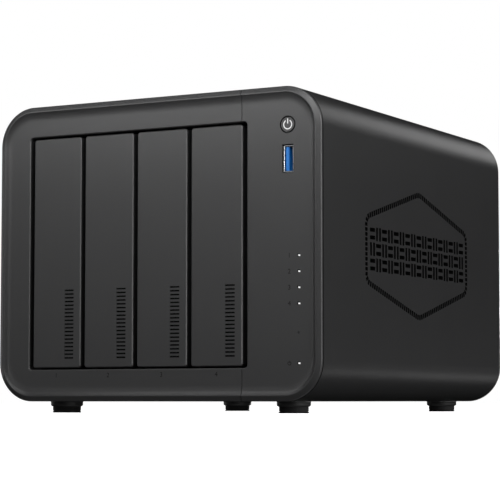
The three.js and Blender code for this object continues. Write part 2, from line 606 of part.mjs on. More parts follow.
function addPorts() {
  const open = THROUGH;
  for (const name of ["lan_port_1", "lan_port_2"]) {
    const port = PORTS[name];
    const [inner, outer] = portDepths(port);
    const socket = block(portX(port) - 0.6, port.z, 8, 12, [inner + 4, open]);
    const latchSlot = block(portX(port) + 4.2, port.z, 2.6, 5, [inner + 6, open]);
    addMesh(name, cut(portBody(port, 0, [inner, outer]), socket, latchSlot), "steel");
  }
  const usb = PORTS.usb_rear_shell;
  const [usbInner, usbOuter] = portDepths(usb);
  const usbCan = cut(portBody(usb, 0, [usbInner, usbOuter]), portBody(usb, 0.4, [usbInner + 0.5, open]));
  addMesh("usb_rear_shell", usbCan, "steel");
  const usbBase = portBody(usb, 0.6, [usbInner + 0.8, usbInner + 4]);
  const usbTongue = block(portX(usb) + 0.7, usb.z, 1.9, usb.wide - 2, [usbInner + 3, usbOuter - 1]);
  addMesh("usb_rear_tongue", join(usbBase, usbTongue), "blue");

  const thinPort = (port, tongue) => {
    const [inner, outer] = portDepths(port);
    const plate = block(portX(port), port.z, tongue, port.wide - 2.6, [inner + 1, outer - 0.8]);
    return join(cut(portBody(port, 0, [inner, outer]), portBody(port, 0.5, [inner + 1.5, open])), plate);
  };
  addMesh("usb_c_port", thinPort(PORTS.usb_c_port, 0.7), "steel");
  addMesh("hdmi_port", thinPort(PORTS.hdmi_port, 1.6), "steel");

  const jack = PORTS.dc_jack;
  const [jackInner, jackOuter] = portDepths(jack);
  const barrel = rod("y", 3.2, [jackInner + 3, REAR], [portX(jack), jack.z], 12);
  const centrePin = rod("y", 1, [jackInner + 2, jackOuter - 1], [portX(jack), jack.z], 8);
  addMesh("dc_jack", join(cut(portBody(jack, 0, [jackInner, jackOuter]), barrel), centrePin), "connector");
}

function rearPanel(fanCorners) {
  const depths = [REAR_PANEL_FRONT, REAR_PANEL_BACK];
  const through = [REAR_PANEL_FRONT - 1, REAR_PANEL_BACK + 1];
  const plate = caseSlab(WALL + SEAM, depths);
  const rows = 7;
  const pitch = (2 * GRILLE_RADIUS) / rows;
  const slots = [];
  for (let row = 0; row < rows; row += 1) {
    const z = (row - (rows - 1) / 2) * pitch;
    const reach = Math.sqrt(GRILLE_RADIUS ** 2 - z ** 2);
    for (const [from, to] of [[-reach, -20], [-18, 18], [20, reach]]) {
      if (to - from < 4) continue;
      slots.push(block(FAN_X + (from + to) / 2, CASE_MID + z, to - from, GRILLE_SLOT, through));
    }
  }
  const pegs = fanCorners.map((at) => rod("y", 1.8, [REAR_PANEL_FRONT - 6, REAR_PANEL_FRONT + 1], at, 8));
  const portCuts = Object.values(PORTS).map((port) => portBody(port, -0.3, through));
  const screwHoles = screwPlaces.map((at) => rod("y", SCREW_RADIUS + 0.3, through, at, 8));
  const lockSlot = block(LOCK_SLOT.x, LOCK_SLOT.z, LOCK_SLOT.wide, LOCK_SLOT.tall, through);
  return join(cut(plate, ...slots, ...portCuts, ...screwHoles, lockSlot), ...pegs);
}

function addRearScrews() {
  screwPlaces.forEach((at, index) => {
    const head = rod("y", 3.2, [REAR_PANEL_BACK + 0.1, REAR - 0.3], at, 12);
    const shank = rod("y", SCREW_RADIUS, [REAR_PANEL_FRONT - 10, REAR_PANEL_BACK + 0.3], at, 8);
    const recess = block(at[0], at[1], 3.4, 0.8, [REAR - 1.2, REAR]);
    addMesh(`rear_screw_${index + 1}`, cut(join(head, shank), recess), "steel");
  });
}

// ---------------------------------------------------------------- the whole object

addMesh("outer_shell", outerShell(), "shell");
addBezel();
addFeet();
addPowerButton();
addFrontElectronics();
addTrays();
addMesh("drive_cage", driveCage(), "frame");
addBackplane();
addMainBoard();
const fanCorners = addFan();
addPorts();
addMesh("rear_panel", rearPanel(fanCorners), "shell");
addRearScrews();

export default part;
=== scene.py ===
"""The look of the network-storage enclosure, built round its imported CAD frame.

Lengths are in metres, +Z is up and the front faces -Y.
"""

import math

import bmesh
import bpy
from mathutils import Matrix, Vector
from mathutils.geometry import delaunay_2d_cdt


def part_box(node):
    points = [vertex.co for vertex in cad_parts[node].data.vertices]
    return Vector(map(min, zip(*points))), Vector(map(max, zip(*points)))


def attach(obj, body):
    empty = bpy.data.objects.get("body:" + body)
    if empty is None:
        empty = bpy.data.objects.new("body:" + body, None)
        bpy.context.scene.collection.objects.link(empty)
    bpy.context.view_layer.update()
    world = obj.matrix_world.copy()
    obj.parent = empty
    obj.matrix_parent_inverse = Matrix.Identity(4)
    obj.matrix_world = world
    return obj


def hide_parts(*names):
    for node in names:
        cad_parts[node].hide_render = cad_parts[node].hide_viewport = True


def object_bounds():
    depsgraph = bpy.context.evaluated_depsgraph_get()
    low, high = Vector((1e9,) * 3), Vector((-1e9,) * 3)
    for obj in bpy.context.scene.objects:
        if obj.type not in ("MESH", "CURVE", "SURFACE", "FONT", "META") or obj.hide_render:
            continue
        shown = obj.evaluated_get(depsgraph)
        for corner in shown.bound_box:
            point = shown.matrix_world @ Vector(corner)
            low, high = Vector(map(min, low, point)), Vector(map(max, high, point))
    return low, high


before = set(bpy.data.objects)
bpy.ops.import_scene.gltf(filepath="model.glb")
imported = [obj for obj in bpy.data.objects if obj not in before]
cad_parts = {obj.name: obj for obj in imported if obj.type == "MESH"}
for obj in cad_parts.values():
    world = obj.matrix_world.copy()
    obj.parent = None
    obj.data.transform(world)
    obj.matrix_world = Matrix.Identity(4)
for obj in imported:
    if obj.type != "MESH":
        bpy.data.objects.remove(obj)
cad_low, cad_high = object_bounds()

MM = 0.001
TOUCH_GAP = 0.02 * MM  # keeps two pieces that rest on each other from sharing a face
TRAYS = (1, 2, 3, 4)


def middle(node):
    """The centre of a CAD node's box."""
    low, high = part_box(node)
    return (low + high) / 2


# ---- places and sizes, from the frame

shell_low, shell_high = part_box("outer_shell")
FRONT = cad_low.y
REAR = cad_high.y
HALF_WIDTH = shell_high.x
HALF_HEIGHT = (shell_high.z - shell_low.z) / 2
MID_Z = (shell_high.z + shell_low.z) / 2
CORNER = 19 * MM
WALL = 2.6 * MM
SEAM = 0.3 * MM

lever_low, lever_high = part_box("tray_lever_1")
FACE, LEVER_BACK = lever_low.y, lever_high.y
LEVER_BOTTOM, LEVER_TOP = lever_low.z, lever_high.z
LEVER_HALF_WIDTH = (lever_high.x - lever_low.x) / 2
LEVER_X = [middle(f"tray_lever_{n}").x for n in TRAYS]

# The bezel's rim: a chamfer outside its crest, then a sloping dish down to the sunken flat face.
RIM_CHAMFER = 2.4 * MM
RIM_CHAMFER_DEPTH = 1.2 * MM
RIM_CREST = 0.4 * MM
RIM_EDGE = 0.7 * MM
DISH_WIDTH = 5.6 * MM
DISH_CURVE = 3.5  # the power of the dish's fall, so most of it lies near the crest
FACE_BACK = FACE + 3 * MM
BEZEL_LIP = 2.5 * MM
BEZEL_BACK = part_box("bay_bezel")[1].y
SPIGOT_INSET = 2.9 * MM
SPIGOT_WALL = 2.2 * MM
SEAM_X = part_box("bay_bezel")[1].x + SEAM / 2

# The opening that the four levers fill, with its gap to them.
BAY_SIDE_GAP = 2.5 * MM
BAY_LOW_GAP = 0.8 * MM
BAY_TOP_GAP = 1.1 * MM
BAY_HALF_WIDTH = (LEVER_X[-1] - LEVER_X[0]) / 2 + LEVER_HALF_WIDTH + BAY_SIDE_GAP
BAY_X = (LEVER_X[0] + LEVER_X[-1]) / 2
BAY_BOTTOM = LEVER_BOTTOM - BAY_LOW_GAP
BAY_TOP = LEVER_TOP + BAY_TOP_GAP
BAY_CORNER = 1.6 * MM
BAY_CHAMFER = ((0.5, 0), (0.39, 0.03), (0.03, 0.39), (0, 0.5))  # (outwards, depth) in millimetres

# The controls, with the room round each.
BUTTON = middle("power_button")
BUTTON_RADIUS = 3.45 * MM
BUTTON_HOLE = 3.98 * MM
BUTTON_FLANGE = 5 * MM
BUTTON_STEM = 1.5 * MM
BUTTON_DISH = 0.12 * MM
SIGN_RADIUS = 2.05 * MM
SIGN_DEPTH = 0.5 * MM
USB = middle("usb_front_shell")
USB_HALF = (2.5 * MM, 6.1 * MM)
USB_GAP = 0.4 * MM
USB_CORNER = 0.5 * MM
LIGHT_SHIFT = 0.22 * MM
LIGHT_X = middle("status_light_pipe").x - LIGHT_SHIFT
LIGHT_MARGIN = 2 * MM
BAY_LIGHT_PITCH = 7.32 * MM
BAY_LIGHT_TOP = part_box("status_light_pipe")[1].z - LIGHT_MARGIN
POWER_LIGHT_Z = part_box("status_light_pipe")[0].z + LIGHT_MARGIN
SPARE_LIGHT_Z = POWER_LIGHT_Z + 13.9 * MM
LIGHT_RADIUS = 0.36 * MM
LIGHT_HOLE = 0.85 * MM
SPARE_LIGHT_HOLE = 0.52 * MM
BAY_LIGHT_Z = [BAY_LIGHT_TOP - (n - 1) * BAY_LIGHT_PITCH for n in TRAYS]
LIGHT_Z = BAY_LIGHT_Z + [SPARE_LIGHT_Z, POWER_LIGHT_Z]


# ---- materials


def put(node, values):
    """Gives a node's inputs their values, by name. Another node's output is linked."""
    for name, value in values.items():
        if isinstance(value, bpy.types.NodeSocket):
            node.id_data.links.new(value, node.inputs[name])
        else:
            node.inputs[name].default_value = value


def add(tree, kind, values):
    """A new shader node with the given inputs."""
    node = tree.nodes.new(f"ShaderNode{kind}")
    put(node, values)
    return node


def shader(name, roughness, metallic=0.0, specular=0.5):
    """A material with its node tree, its Principled shader and an object-space coordinate node."""
    material = bpy.data.materials.new(name)
    material.use_nodes = True
    nodes = material.node_tree.nodes
    principled = nodes["Principled BSDF"]
    put(principled, {"Roughness": roughness, "Metallic": metallic, "Specular IOR Level": specular})
    coordinates = nodes.new("ShaderNodeTexCoord")
    return material, material.node_tree, principled, coordinates.outputs["Object"]


def noise(tree, where, scale, detail=3.0, stretch=None):
    """A noise value over object space. scale is in features for each metre."""
    if stretch:
        where = add(tree, "Mapping", {"Vector": where, "Scale": stretch}).outputs["Vector"]
    values = {"Vector": where, "Scale": scale, "Detail": detail, "Roughness": 0.55}
    return add(tree, "TexNoise", values).outputs["Fac"]


def ramp(tree, value, low, high):
    """Maps a value from 0.3..0.7 to the colours or numbers low..high."""
    node = add(tree, "ValToRGB", {"Fac": value})
    for element, place, end in zip(node.color_ramp.elements, (0.3, 0.7), (low, high)):
        element.position = place
        element.color = end if isinstance(end, tuple) else (end, end, end, 1)
    return node.outputs["Color"]


def bump(tree, height, distance, strength, under=None):
    """A bump from a height value. distance is in metres."""
    node = add(tree, "Bump", {"Height": height, "Distance": distance, "Strength": strength})
    if under:
        put(node, {"Normal": under})
    return node.outputs["Normal"]


def grey(value):
    """A grey, a very little on the blue side."""
    return (value, value, value * 1.02, 1)


def shade(colour, times):
    """A colour made darker or lighter, and never above full strength."""
    return tuple(min(1, c * times) for c in colour[:3]) + (1,)


GLOSS_SPREAD = 0.012


def moulded_plastic(name, colour, roughness, grain=2600, depth=0.03 * MM, specular=0.5):
    """Moulded plastic with a spark-eroded grain, faint mottling and uneven gloss."""
    material, tree, principled, where = shader(name, roughness, specular=specular)
    fine = noise(tree, where, grain, detail=4)
    broad = noise(tree, where, 45)
    mottle = add(tree, "Mix", {"Factor": 0.15, "A": fine, "B": broad})
    tone = ramp(tree, mottle.outputs["Result"], shade(colour, 0.9), shade(colour, 1.1))
    gloss = ramp(tree, broad, roughness - GLOSS_SPREAD, roughness + GLOSS_SPREAD)
    pits = add(tree, "TexVoronoi", {"Vector": where, "Scale": grain * 0.7})
    coarse = bump(tree, pits.outputs["Distance"], depth, 0.5)
    relief = bump(tree, fine, depth, 0.6, under=coarse)
    put(principled, {"Base Color": tone, "Roughness": gloss, "Normal": relief})
    return material


def metal(name, colour, roughness):
    """Plated or anodised metal, with fine scratches drawn out along one axis."""
    material, tree, principled, where = shader(name, roughness, metallic=1.0)
    lines = noise(tree, where, 1.0, detail=5, stretch=(40, 40, 1800))
    tone = ramp(tree, lines, shade(colour, 0.86), colour)
    gloss = ramp(tree, lines, roughness * 0.8, roughness * 1.25)
    put(principled, {"Base Color": tone, "Roughness": gloss, "Normal": bump(tree, lines, 0.01 * MM, 0.5)})
    return material


def circuit_board(name, mask):
    """Solder mask with faint copper tracks under it."""
    material, tree, principled, where = shader(name, 0.38)
    mapping = add(tree, "Mapping", {"Vector": where, "Rotation": (math.pi / 2, 0, math.pi / 2)})
    bricks = add(tree, "TexBrick", {"Vector": mapping.outputs["Vector"], "Scale": 260, "Mortar Size": 0.03})
    put(bricks, {"Color1": mask, "Color2": shade(mask, 0.82), "Mortar": shade(mask, 1.9)})
    relief = bump(tree, bricks.outputs["Fac"], 0.02 * MM, 0.4)
    put(principled, {"Base Color": bricks.outputs["Color"], "Normal": relief})
    return material


def lit(name, strength):
    """A white light guide that glows, a little uneven across its face."""
    material, tree, principled, where = shader(name, 0.3)
    glow = ramp(tree, noise(tree, where, 900, detail=2), 0.92, 1.0)
    put(principled, {"Base Color": grey(0.08), "Emission Color": glow, "Emission Strength": strength})
    return material


SHELL = moulded_plastic("shell_plastic", grey(0.022), 0.36, grain=1900, depth=0.04 * MM)
BEZEL = moulded_plastic("bezel_plastic", grey(0.04), 0.37, grain=3000)
LEVER = moulded_plastic("lever_plastic", grey(0.04), 0.37, grain=3000)
# Dark plastic for the parts inside the case. The same dark is also put on the levers' side walls, the bay
# opening's walls, one half's seam groove and the button's side, as painted shade in the gaps.
INNER_PLASTIC_AND_GAP_SHADE = moulded_plastic("inner_plastic_and_gap_shade", grey(0.014), 0.6, grain=2200)
# Painted shade: a near-black for the vent slot walls, hole walls and seam grooves, where shade falls. On
# the levers' recessed bars it also stands for their dark lettering.
RECESS_SHADE_AND_INK = moulded_plastic("painted_recess_shade_and_ink", grey(0.003), 0.8, specular=0.1)
PRINT = moulded_plastic("printed_mark", grey(0.006), 0.7, specular=0.2)
RUBBER = moulded_plastic("rubber", grey(0.009), 0.82, grain=1500, depth=0.06 * MM, specular=0.3)
CONNECTOR = moulded_plastic("connector_plastic", grey(0.012), 0.5)
STEEL = metal("plated_steel", (0.62, 0.62, 0.64, 1), 0.3)
GOLD = metal("gold_contact", (0.85, 0.6, 0.25, 1), 0.28)
ALUMINIUM = metal("anodised_aluminium", (0.5, 0.51, 0.53, 1), 0.42)
BOARD = circuit_board("solder_mask", (0.012, 0.075, 0.035, 1))
USB_BLUE = moulded_plastic("usb_blue", (0.008, 0.17, 0.56, 1), 0.35)
SIGN_GLOW = lit("lit_sign", 0.74)
GLOW = lit("lit_status_light", 0.92)
UNLIT = moulded_plastic("unlit_guide", grey(0.035), 0.45)


# ---- mesh tools

SHARP = math.radians(35)  # an edge that turns by more than this is left sharp


def in_scene(name, data):
    """A new object, linked into the scene."""
    thing = bpy.data.objects.new(name, data)
    bpy.context.scene.collection.objects.link(thing)
    return thing


def flat_areas(bm):
    """Each face's flat area, as the first face in it, and the size of every such area."""
    area_of, size = {}, {}
    for start in bm.faces:
        if start in area_of:
            continue
        area_of[start] = start
        members = [start]
        for face in members:
            for other in (near for edge in face.edges for near in edge.link_faces):
                if other not in area_of and start.normal.angle(other.normal, 0) < math.radians(0.1):
                    area_of[other] = start
                    members.append(other)
        size[start] = sum(face.calc_area() for face in members)
    return area_of, size


def corner_normals(bm):
    """A normal for every face corner, from the flat areas that meet there softly, weighted by size."""
    area_of, size = flat_areas(bm)
    normals = {}
    for vertex in bm.verts:
        left = set(vertex.link_faces)
        while left:
            group = [left.pop()]
            for face in group:
                for edge in (e for e in face.edges if vertex in e.verts and len(e.link_faces) == 2):
                    if edge.calc_face_angle(0) < SHARP:
                        near = left.intersection(edge.link_faces)
                        left -= near
                        group += near
            areas = {area_of[face] for face in group}
            total = sum((size[area] * area.normal for area in areas), Vector())
            for face in group:
                normals[face, vertex] = total.normalized()
    return [normals[face, loop.vert] for face in bm.faces for loop in face.loops]


def piece(name, bm, materials, body, replaces=()):
    """Makes a closed mesh into a finished piece of the object."""
    bmesh.ops.recalc_face_normals(bm, faces=bm.faces)
    normals = corner_normals(bm)
    mesh = bpy.data.meshes.new(name)
    bm.to_mesh(mesh)
    bm.free()
    for material in materials if isinstance(materials, list) else [materials]:
        mesh.materials.append(material)
    for polygon in mesh.polygons:
        polygon.use_smooth = True
    mesh.set_sharp_from_angle(angle=SHARP)
    mesh.normals_split_custom_set(normals)
    thing = in_scene(name, mesh)
    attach(thing, body)
    if replaces:
        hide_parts(*replaces)


def rounded(half_width, half_height, radius, x, z, steps=6):
    """A rectangle with round corners as (x, z) points, anticlockwise from its lower right corner."""
    points = []
    for quarter, (side, up) in enumerate([(1, -1), (1, 1), (-1, 1), (-1, -1)]):
        for step in range(steps + 1):
            angle = (quarter - 1 + step / steps) * math.pi / 2
            across = side * (half_width - radius) + radius * math.cos(angle)
            points.append((x + across, z + up * (half_height - radius) + radius * math.sin(angle)))
    return points


def circle(radius, x, z, steps, turn=0.0):
    """A circle as (x, z) points, anticlockwise from the angle turn."""
    angles = [turn + 2 * math.pi * i / steps for i in range(steps)]
    return [(x + radius * math.cos(a), z + radius * math.sin(a)) for a in angles]


def ring(bm, points, y):
    """One loop of vertices across the object at depth y."""
    return [bm.verts.new((x, y, z)) for x, z in points]


def case_ring(bm, inset, y, steps):
    """One loop of vertices round the case at depth y, inset from its outline."""
    outline = rounded(HALF_WIDTH - inset, HALF_HEIGHT - inset, CORNER - inset, 0, MID_Z, steps)
    return ring(bm, outline, y)


def skin(bm, rings, skip=(), dark=()):
    """Joins successive loops. skip holds (span, step) pairs left open, dark the spans that get the second
    material, a painted shade.
    """
    for index, (first, second) in enumerate(zip(rings, rings[1:])):
        count = len(first)
        for step in range(count):
            if (index, step) in skip:
                continue
            after = (step + 1) % count
            face = bm.faces.new((first[step], first[after], second[after], second[step]))
            face.material_index = int(index in dark)


def fill(bm, loops, axes):
    """Fills the flat region inside the first loop and outside the others, seen along the third axis."""
    corners = [vertex for loop in loops for vertex in loop]
    flat = [Vector((v.co[axes[0]], v.co[axes[1]])) for v in corners]
    outlines = []
    start = 0
    for loop in loops:
        outline = list(range(start, start + len(loop)))
        start += len(loop)
        area = sum(flat[a].cross(flat[b]) for a, b in zip(outline, outline[1:] + outline[:1]))
        outlines.append(outline if area > 0 else outline[::-1])
    _, _, triangles, origins, _, sources = delaunay_2d_cdt(flat, [], outlines, 1, 1e-8)
    for triangle, source in zip(triangles, sources):
        if set(source) == {0}:
            bm.faces.new([corners[origins[i][0]] for i in triangle])


ACROSS = (0, 2)  # the X and Z coordinates, for regions that face the front or the rear
ALONG = (1, 2)  # the Y and Z coordinates, for regions on the sides


def solid(bm, rings, dark=()):
    """Joins successive loops across the object with faces and closes both ends."""
    skin(bm, rings, dark=dark)
    fill(bm, [rings[0]], ACROSS)
    fill(bm, [rings[-1]], ACROSS)


def turned(profile, x, z, steps, dark=()):
    """A new solid of revolution about an axis along Y. profile holds (radius, y) points."""
    bm = bmesh.new()
    solid(bm, [ring(bm, circle(radius, x, z, steps), y) for radius, y in profile], dark)
    return bm


def fillet(radius, steps=3):
    """(inwards, back) offsets round a quarter circle, from an edge's face to its side."""
    angles = [math.pi / 2 * i / steps for i in range(steps + 1)]
    return [(radius * (1 - math.sin(a)), radius * (1 - math.cos(a))) for a in angles]


def well(bm, outline, front, back, edge):
    """A hole's wall with a rounded front edge, and its end loops. outline gives its points for a growth.
    The wall behind the edge takes the second material, a painted shade.
    """
    rings = [ring(bm, outline(out), front + depth) for out, depth in fillet(edge)]
    rings.append(ring(bm, outline(0), back))
    skin(bm, rings, dark={len(rings) - 2})
    return rings[0], rings[-1]


def block(bm, low, high):
    """Adds a plain box between two corners."""
    size = [b - a for a, b in zip(low, high)]
    centre = [(a + b) / 2 for a, b in zip(low, high)]
    matrix = Matrix.Translation(centre) @ Matrix.Diagonal((*size, 1))
    bmesh.ops.create_cube(bm, size=1, matrix=matrix)


def drum(bm, radius, start, end, axis):
    """Adds a plain cylinder between two points that differ along one axis, X or Y."""
    turn = {"x": Matrix.Rotation(math.pi / 2, 4, "Y"), "y": Matrix.Rotation(math.pi / 2, 4, "X")}
    centre = (Vector(start) + Vector(end)) / 2
    length = (Vector(end) - Vector(start)).length
    matrix = Matrix.Translation(centre) @ turn[axis]
    bmesh.ops.create_cone(
        bm, cap_ends=True, segments=24, radius1=radius, radius2=radius, depth=length, matrix=matrix
    )


def boolean(bm, cutter):
    """Cuts one mesh out of another, exactly. Both are used up; the result is a new mesh."""
    things = []
    for source in (bm, cutter):
        bmesh.ops.recalc_face_normals(source, faces=source.faces)
        mesh = bpy.data.meshes.new("scratch")
        source.to_mesh(mesh)
        source.free()
        things.append(in_scene("scratch", mesh))
    modifier = things[0].modifiers.new("cut", "BOOLEAN")
    modifier.operation = "DIFFERENCE"
    modifier.solver = "EXACT"
    modifier.use_self = True
    modifier.object = things[1]
    graph = bpy.context.evaluated_depsgraph_get()
    cut = things[0].evaluated_get(graph).to_mesh()
    result = bmesh.new()
    result.from_mesh(cut)
    for thing in things:
        mesh = thing.data
        bpy.data.objects.remove(thing)
        bpy.data.meshes.remove(mesh)
    return result


def soften(bm, width, angle):
    """Rounds every edge that turns by more than angle."""
    bmesh.ops.remove_doubles(bm, verts=bm.verts, dist=1e-6)
    bmesh.ops.dissolve_limit(bm, angle_limit=math.radians(1), verts=bm.verts, edges=bm.edges)
    edges = [e for e in bm.edges if len(e.link_faces) == 2 and e.calc_face_angle(0) > math.radians(angle)]
    bmesh.ops.bevel(bm, geom=edges, offset=width, segments=2, affect="EDGES", clamp_overlap=True)


def refine(node, material, width, body="case", angle=30):
    """A finer copy of a CAD node: the same shape with its edges rounded."""
    bm = bmesh.new()
    bm.from_mesh(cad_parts[node].data)
    soften(bm, width, angle=angle)
    piece(f"{node}_fine", bm, material, body, [node])


def lathe(bm, profile, x, y):
    """Adds a solid of revolution about a vertical axis. profile holds (radius, z) points, axis to axis."""
    rings = []
    for radius, z in profile[1:-1]:
        rings.append([bm.verts.new((x + px, y + py, z)) for px, py in circle(radius, 0, 0, 48)])
    skin(bm, rings)
    for tip, loop in ((profile[0], rings[0]), (profile[-1], rings[-1])):
        point = bm.verts.new((x, y, tip[1]))
        for first, second in zip(loop, loop[1:] + loop[:1]):
            bm.faces.new((point, first, second))


# ---- the sleeve and its vents

# All in millimetres. The band's corners are on one half of the side, as (y, z) from its middle.
VENT_CORNERS = [(0, 31), (61.2, 15), (61.2, -15.6), (0, -31)]
VENT_BENDS = [12, 5, 5, 12]
BEND_STEPS = 12
BAND_PITCH = 2.36
BAND_SLOT = (1.8, 2.7)  # along and across the band
SLOT_NICK = 0.3
WEAVE_COLUMNS = 17
WEAVE_ROWS = 3
WEAVE_BLOCK = (6.8, 7.4)
UPRIGHT_BAR = (2.1, 6.5)
LEVEL_BAR = (5.8, 1.9)


def band_path():
    """Evenly spaced (point, direction) pairs along the band, in millimetres."""
    right = [Vector(corner) for corner in VENT_CORNERS]
    corners = right + [Vector((-y, z)) for y, z in VENT_CORNERS[-2:0:-1]]
    bends = VENT_BENDS + VENT_BENDS[-2:0:-1]
    path = []
    befores, afters = corners[-1:] + corners[:-1], corners[1:] + corners[:1]
    for before, corner, after, bend in zip(befores, corners, afters, bends):
        into, out = (before - corner).normalized(), (after - corner).normalized()
        half = into.angle(out) / 2
        centre = corner + (into + out).normalized() * bend / math.sin(half)
        start = corner + into * bend / math.tan(half) - centre
        end = corner + out * bend / math.tan(half) - centre
        turn = start.angle_signed(end)
        path += [centre + Matrix.Rotation(-turn * i / BEND_STEPS, 2) @ start for i in range(BEND_STEPS + 1)]
    path.append(path[0])
    lengths = [(b - a).length for a, b in zip(path, path[1:])]
    count = round(sum(lengths) / BAND_PITCH)
    step = sum(lengths) / count
    places = []
    reached, wanted = 0.0, step / 2
    for (a, b), length in zip(zip(path, path[1:]), lengths):
        while wanted < reached + length:
            direction = (b - a).normalized()
            places.append((a + direction * (wanted - reached), direction))
            wanted += step
        reached += length
    return places


def slot_outline(y, z, width, height, along=Vector((1, 0))):
    """A slot's outline with its corners cut, as (y, z) points, from its place in millimetres."""
    w, h = width / 2, height / 2
    short_w, short_h = w - SLOT_NICK, h - SLOT_NICK
    corners = [(w, -short_h), (w, short_h), (short_w, h), (-short_w, h)]
    corners += [(-w, short_h), (-w, -short_h), (-short_w, -h), (short_w, -h)]
    up = Vector((-along.y, along.x))
    points = [Vector((y, z)) + along * p + up * q for p, q in corners]
    return [(point.x * MM, MID_Z + point.y * MM) for point in points]


def vent_outlines():
    """Every slot of one side's vent: a band along a stretched hexagon, and a basket weave inside it."""
    outlines = [slot_outline(*place, *BAND_SLOT, direction) for place, direction in band_path()]
    for column in range(WEAVE_COLUMNS):
        for row in range(WEAVE_ROWS):
            y = (column - (WEAVE_COLUMNS - 1) / 2) * WEAVE_BLOCK[0]
            z = (row - (WEAVE_ROWS - 1) / 2) * WEAVE_BLOCK[1]
            for half in (-1, 1):
                if (column + row) % 2:
                    outlines.append(slot_outline(y + half * WEAVE_BLOCK[0] / 4, z, *UPRIGHT_BAR))
                else:
                    outlines.append(slot_outline(y, z + half * WEAVE_BLOCK[1] / 4, *LEVEL_BAR))
    return outlines


def make_sleeve():
    """A round-cornered tube, with the vent's slots cut through both of its sides."""
    steps = 20
    front, rear = shell_low.y, REAR
    front_edge, rear_edge, inner_edge = 0.35 * MM, 0.8 * MM, 0.3 * MM
    profile = [(inset, front + depth) for inset, depth in fillet(front_edge)]
    profile += [(inset, rear - depth) for inset, depth in reversed(fillet(rear_edge))]
    profile += [(WALL - inset, rear - depth) for inset, depth in fillet(inner_edge)]
    profile += [(WALL - inset, front + depth) for inset, depth in reversed(fillet(inner_edge))]
    outer_span = len(fillet(front_edge)) - 1
    inner_span = outer_span + len(fillet(rear_edge)) + len(fillet(inner_edge))
    bm = bmesh.new()
    rings = [case_ring(bm, inset, y, steps) for inset, y in profile]
    right, left = steps, 3 * (steps + 1) - 1
    open_faces = {(span, step) for span in (outer_span, inner_span) for step in (right, left)}
    # The front edge's fillet, in the seam groove, takes the second material as painted shade.
    skin(bm, rings + [rings[0]], skip=open_faces, dark=range(outer_span))
    holes = vent_outlines()
    for step, side in ((right, 1), (left, -1)):
        after = (step + 1) % len(rings[0])
        loops = {}
        for span, x in ((outer_span, HALF_WIDTH), (inner_span, HALF_WIDTH - WALL)):
            near, far = rings[span], rings[span + 1]
            frame_loop = [near[step], near[after], far[after], far[step]]
            slots = [[bm.verts.new((side * x, y, z)) for y, z in hole] for hole in holes]
            fill(bm, [frame_loop] + slots, ALONG)
            loops[span] = slots
        for outside, inside in zip(loops[outer_span], loops[inner_span]):
            # The slots' walls take the second material as painted shade.
            skin(bm, [outside, inside], dark={0})
    piece("sleeve", bm, [SHELL, RECESS_SHADE_AND_INK], "case", ["outer_shell"])


# ---- the front bezel


def rim_profile():
    """The rim in section, as (inset, y) points, from its back edge over the crest to the flat face."""
    nick = 0.25 * MM
    points = [(nick, FRONT + BEZEL_LIP), (0, FRONT + BEZEL_LIP - nick)]
    slant = math.atan2(RIM_CHAMFER_DEPTH, RIM_CHAMFER)
    centre_y = FRONT + RIM_CHAMFER_DEPTH + RIM_EDGE * math.tan((math.pi / 2 - slant) / 2)
    edge_steps, dish_steps = 6, 10
    for i in range(edge_steps + 1):
        angle = math.pi / 2 + (slant - math.pi / 2) * i / edge_steps
        points.append((RIM_EDGE * (1 - math.sin(angle)), centre_y - RIM_EDGE * math.cos(angle)))
    points += [(RIM_CHAMFER * t, FRONT + RIM_CHAMFER_DEPTH * (1 - t)) for t in (0.6, 0.93)]
    points.append((RIM_CHAMFER + RIM_CREST * 0.3, FRONT))
    for i in range(dish_steps + 1):
        t = i / dish_steps
        depth = (FACE - FRONT) * (1 - t) ** DISH_CURVE
        points.append((RIM_CHAMFER + RIM_CREST + DISH_WIDTH * t, FACE - depth))
    return points


def bay_outline(grow):
    """The opening for the trays, as (x, z) points."""
    half_height, centre_z = (BAY_TOP - BAY_BOTTOM) / 2, (BAY_TOP + BAY_BOTTOM) / 2
    return rounded(BAY_HALF_WIDTH + grow, half_height + grow, BAY_CORNER + grow, BAY_X, centre_z)


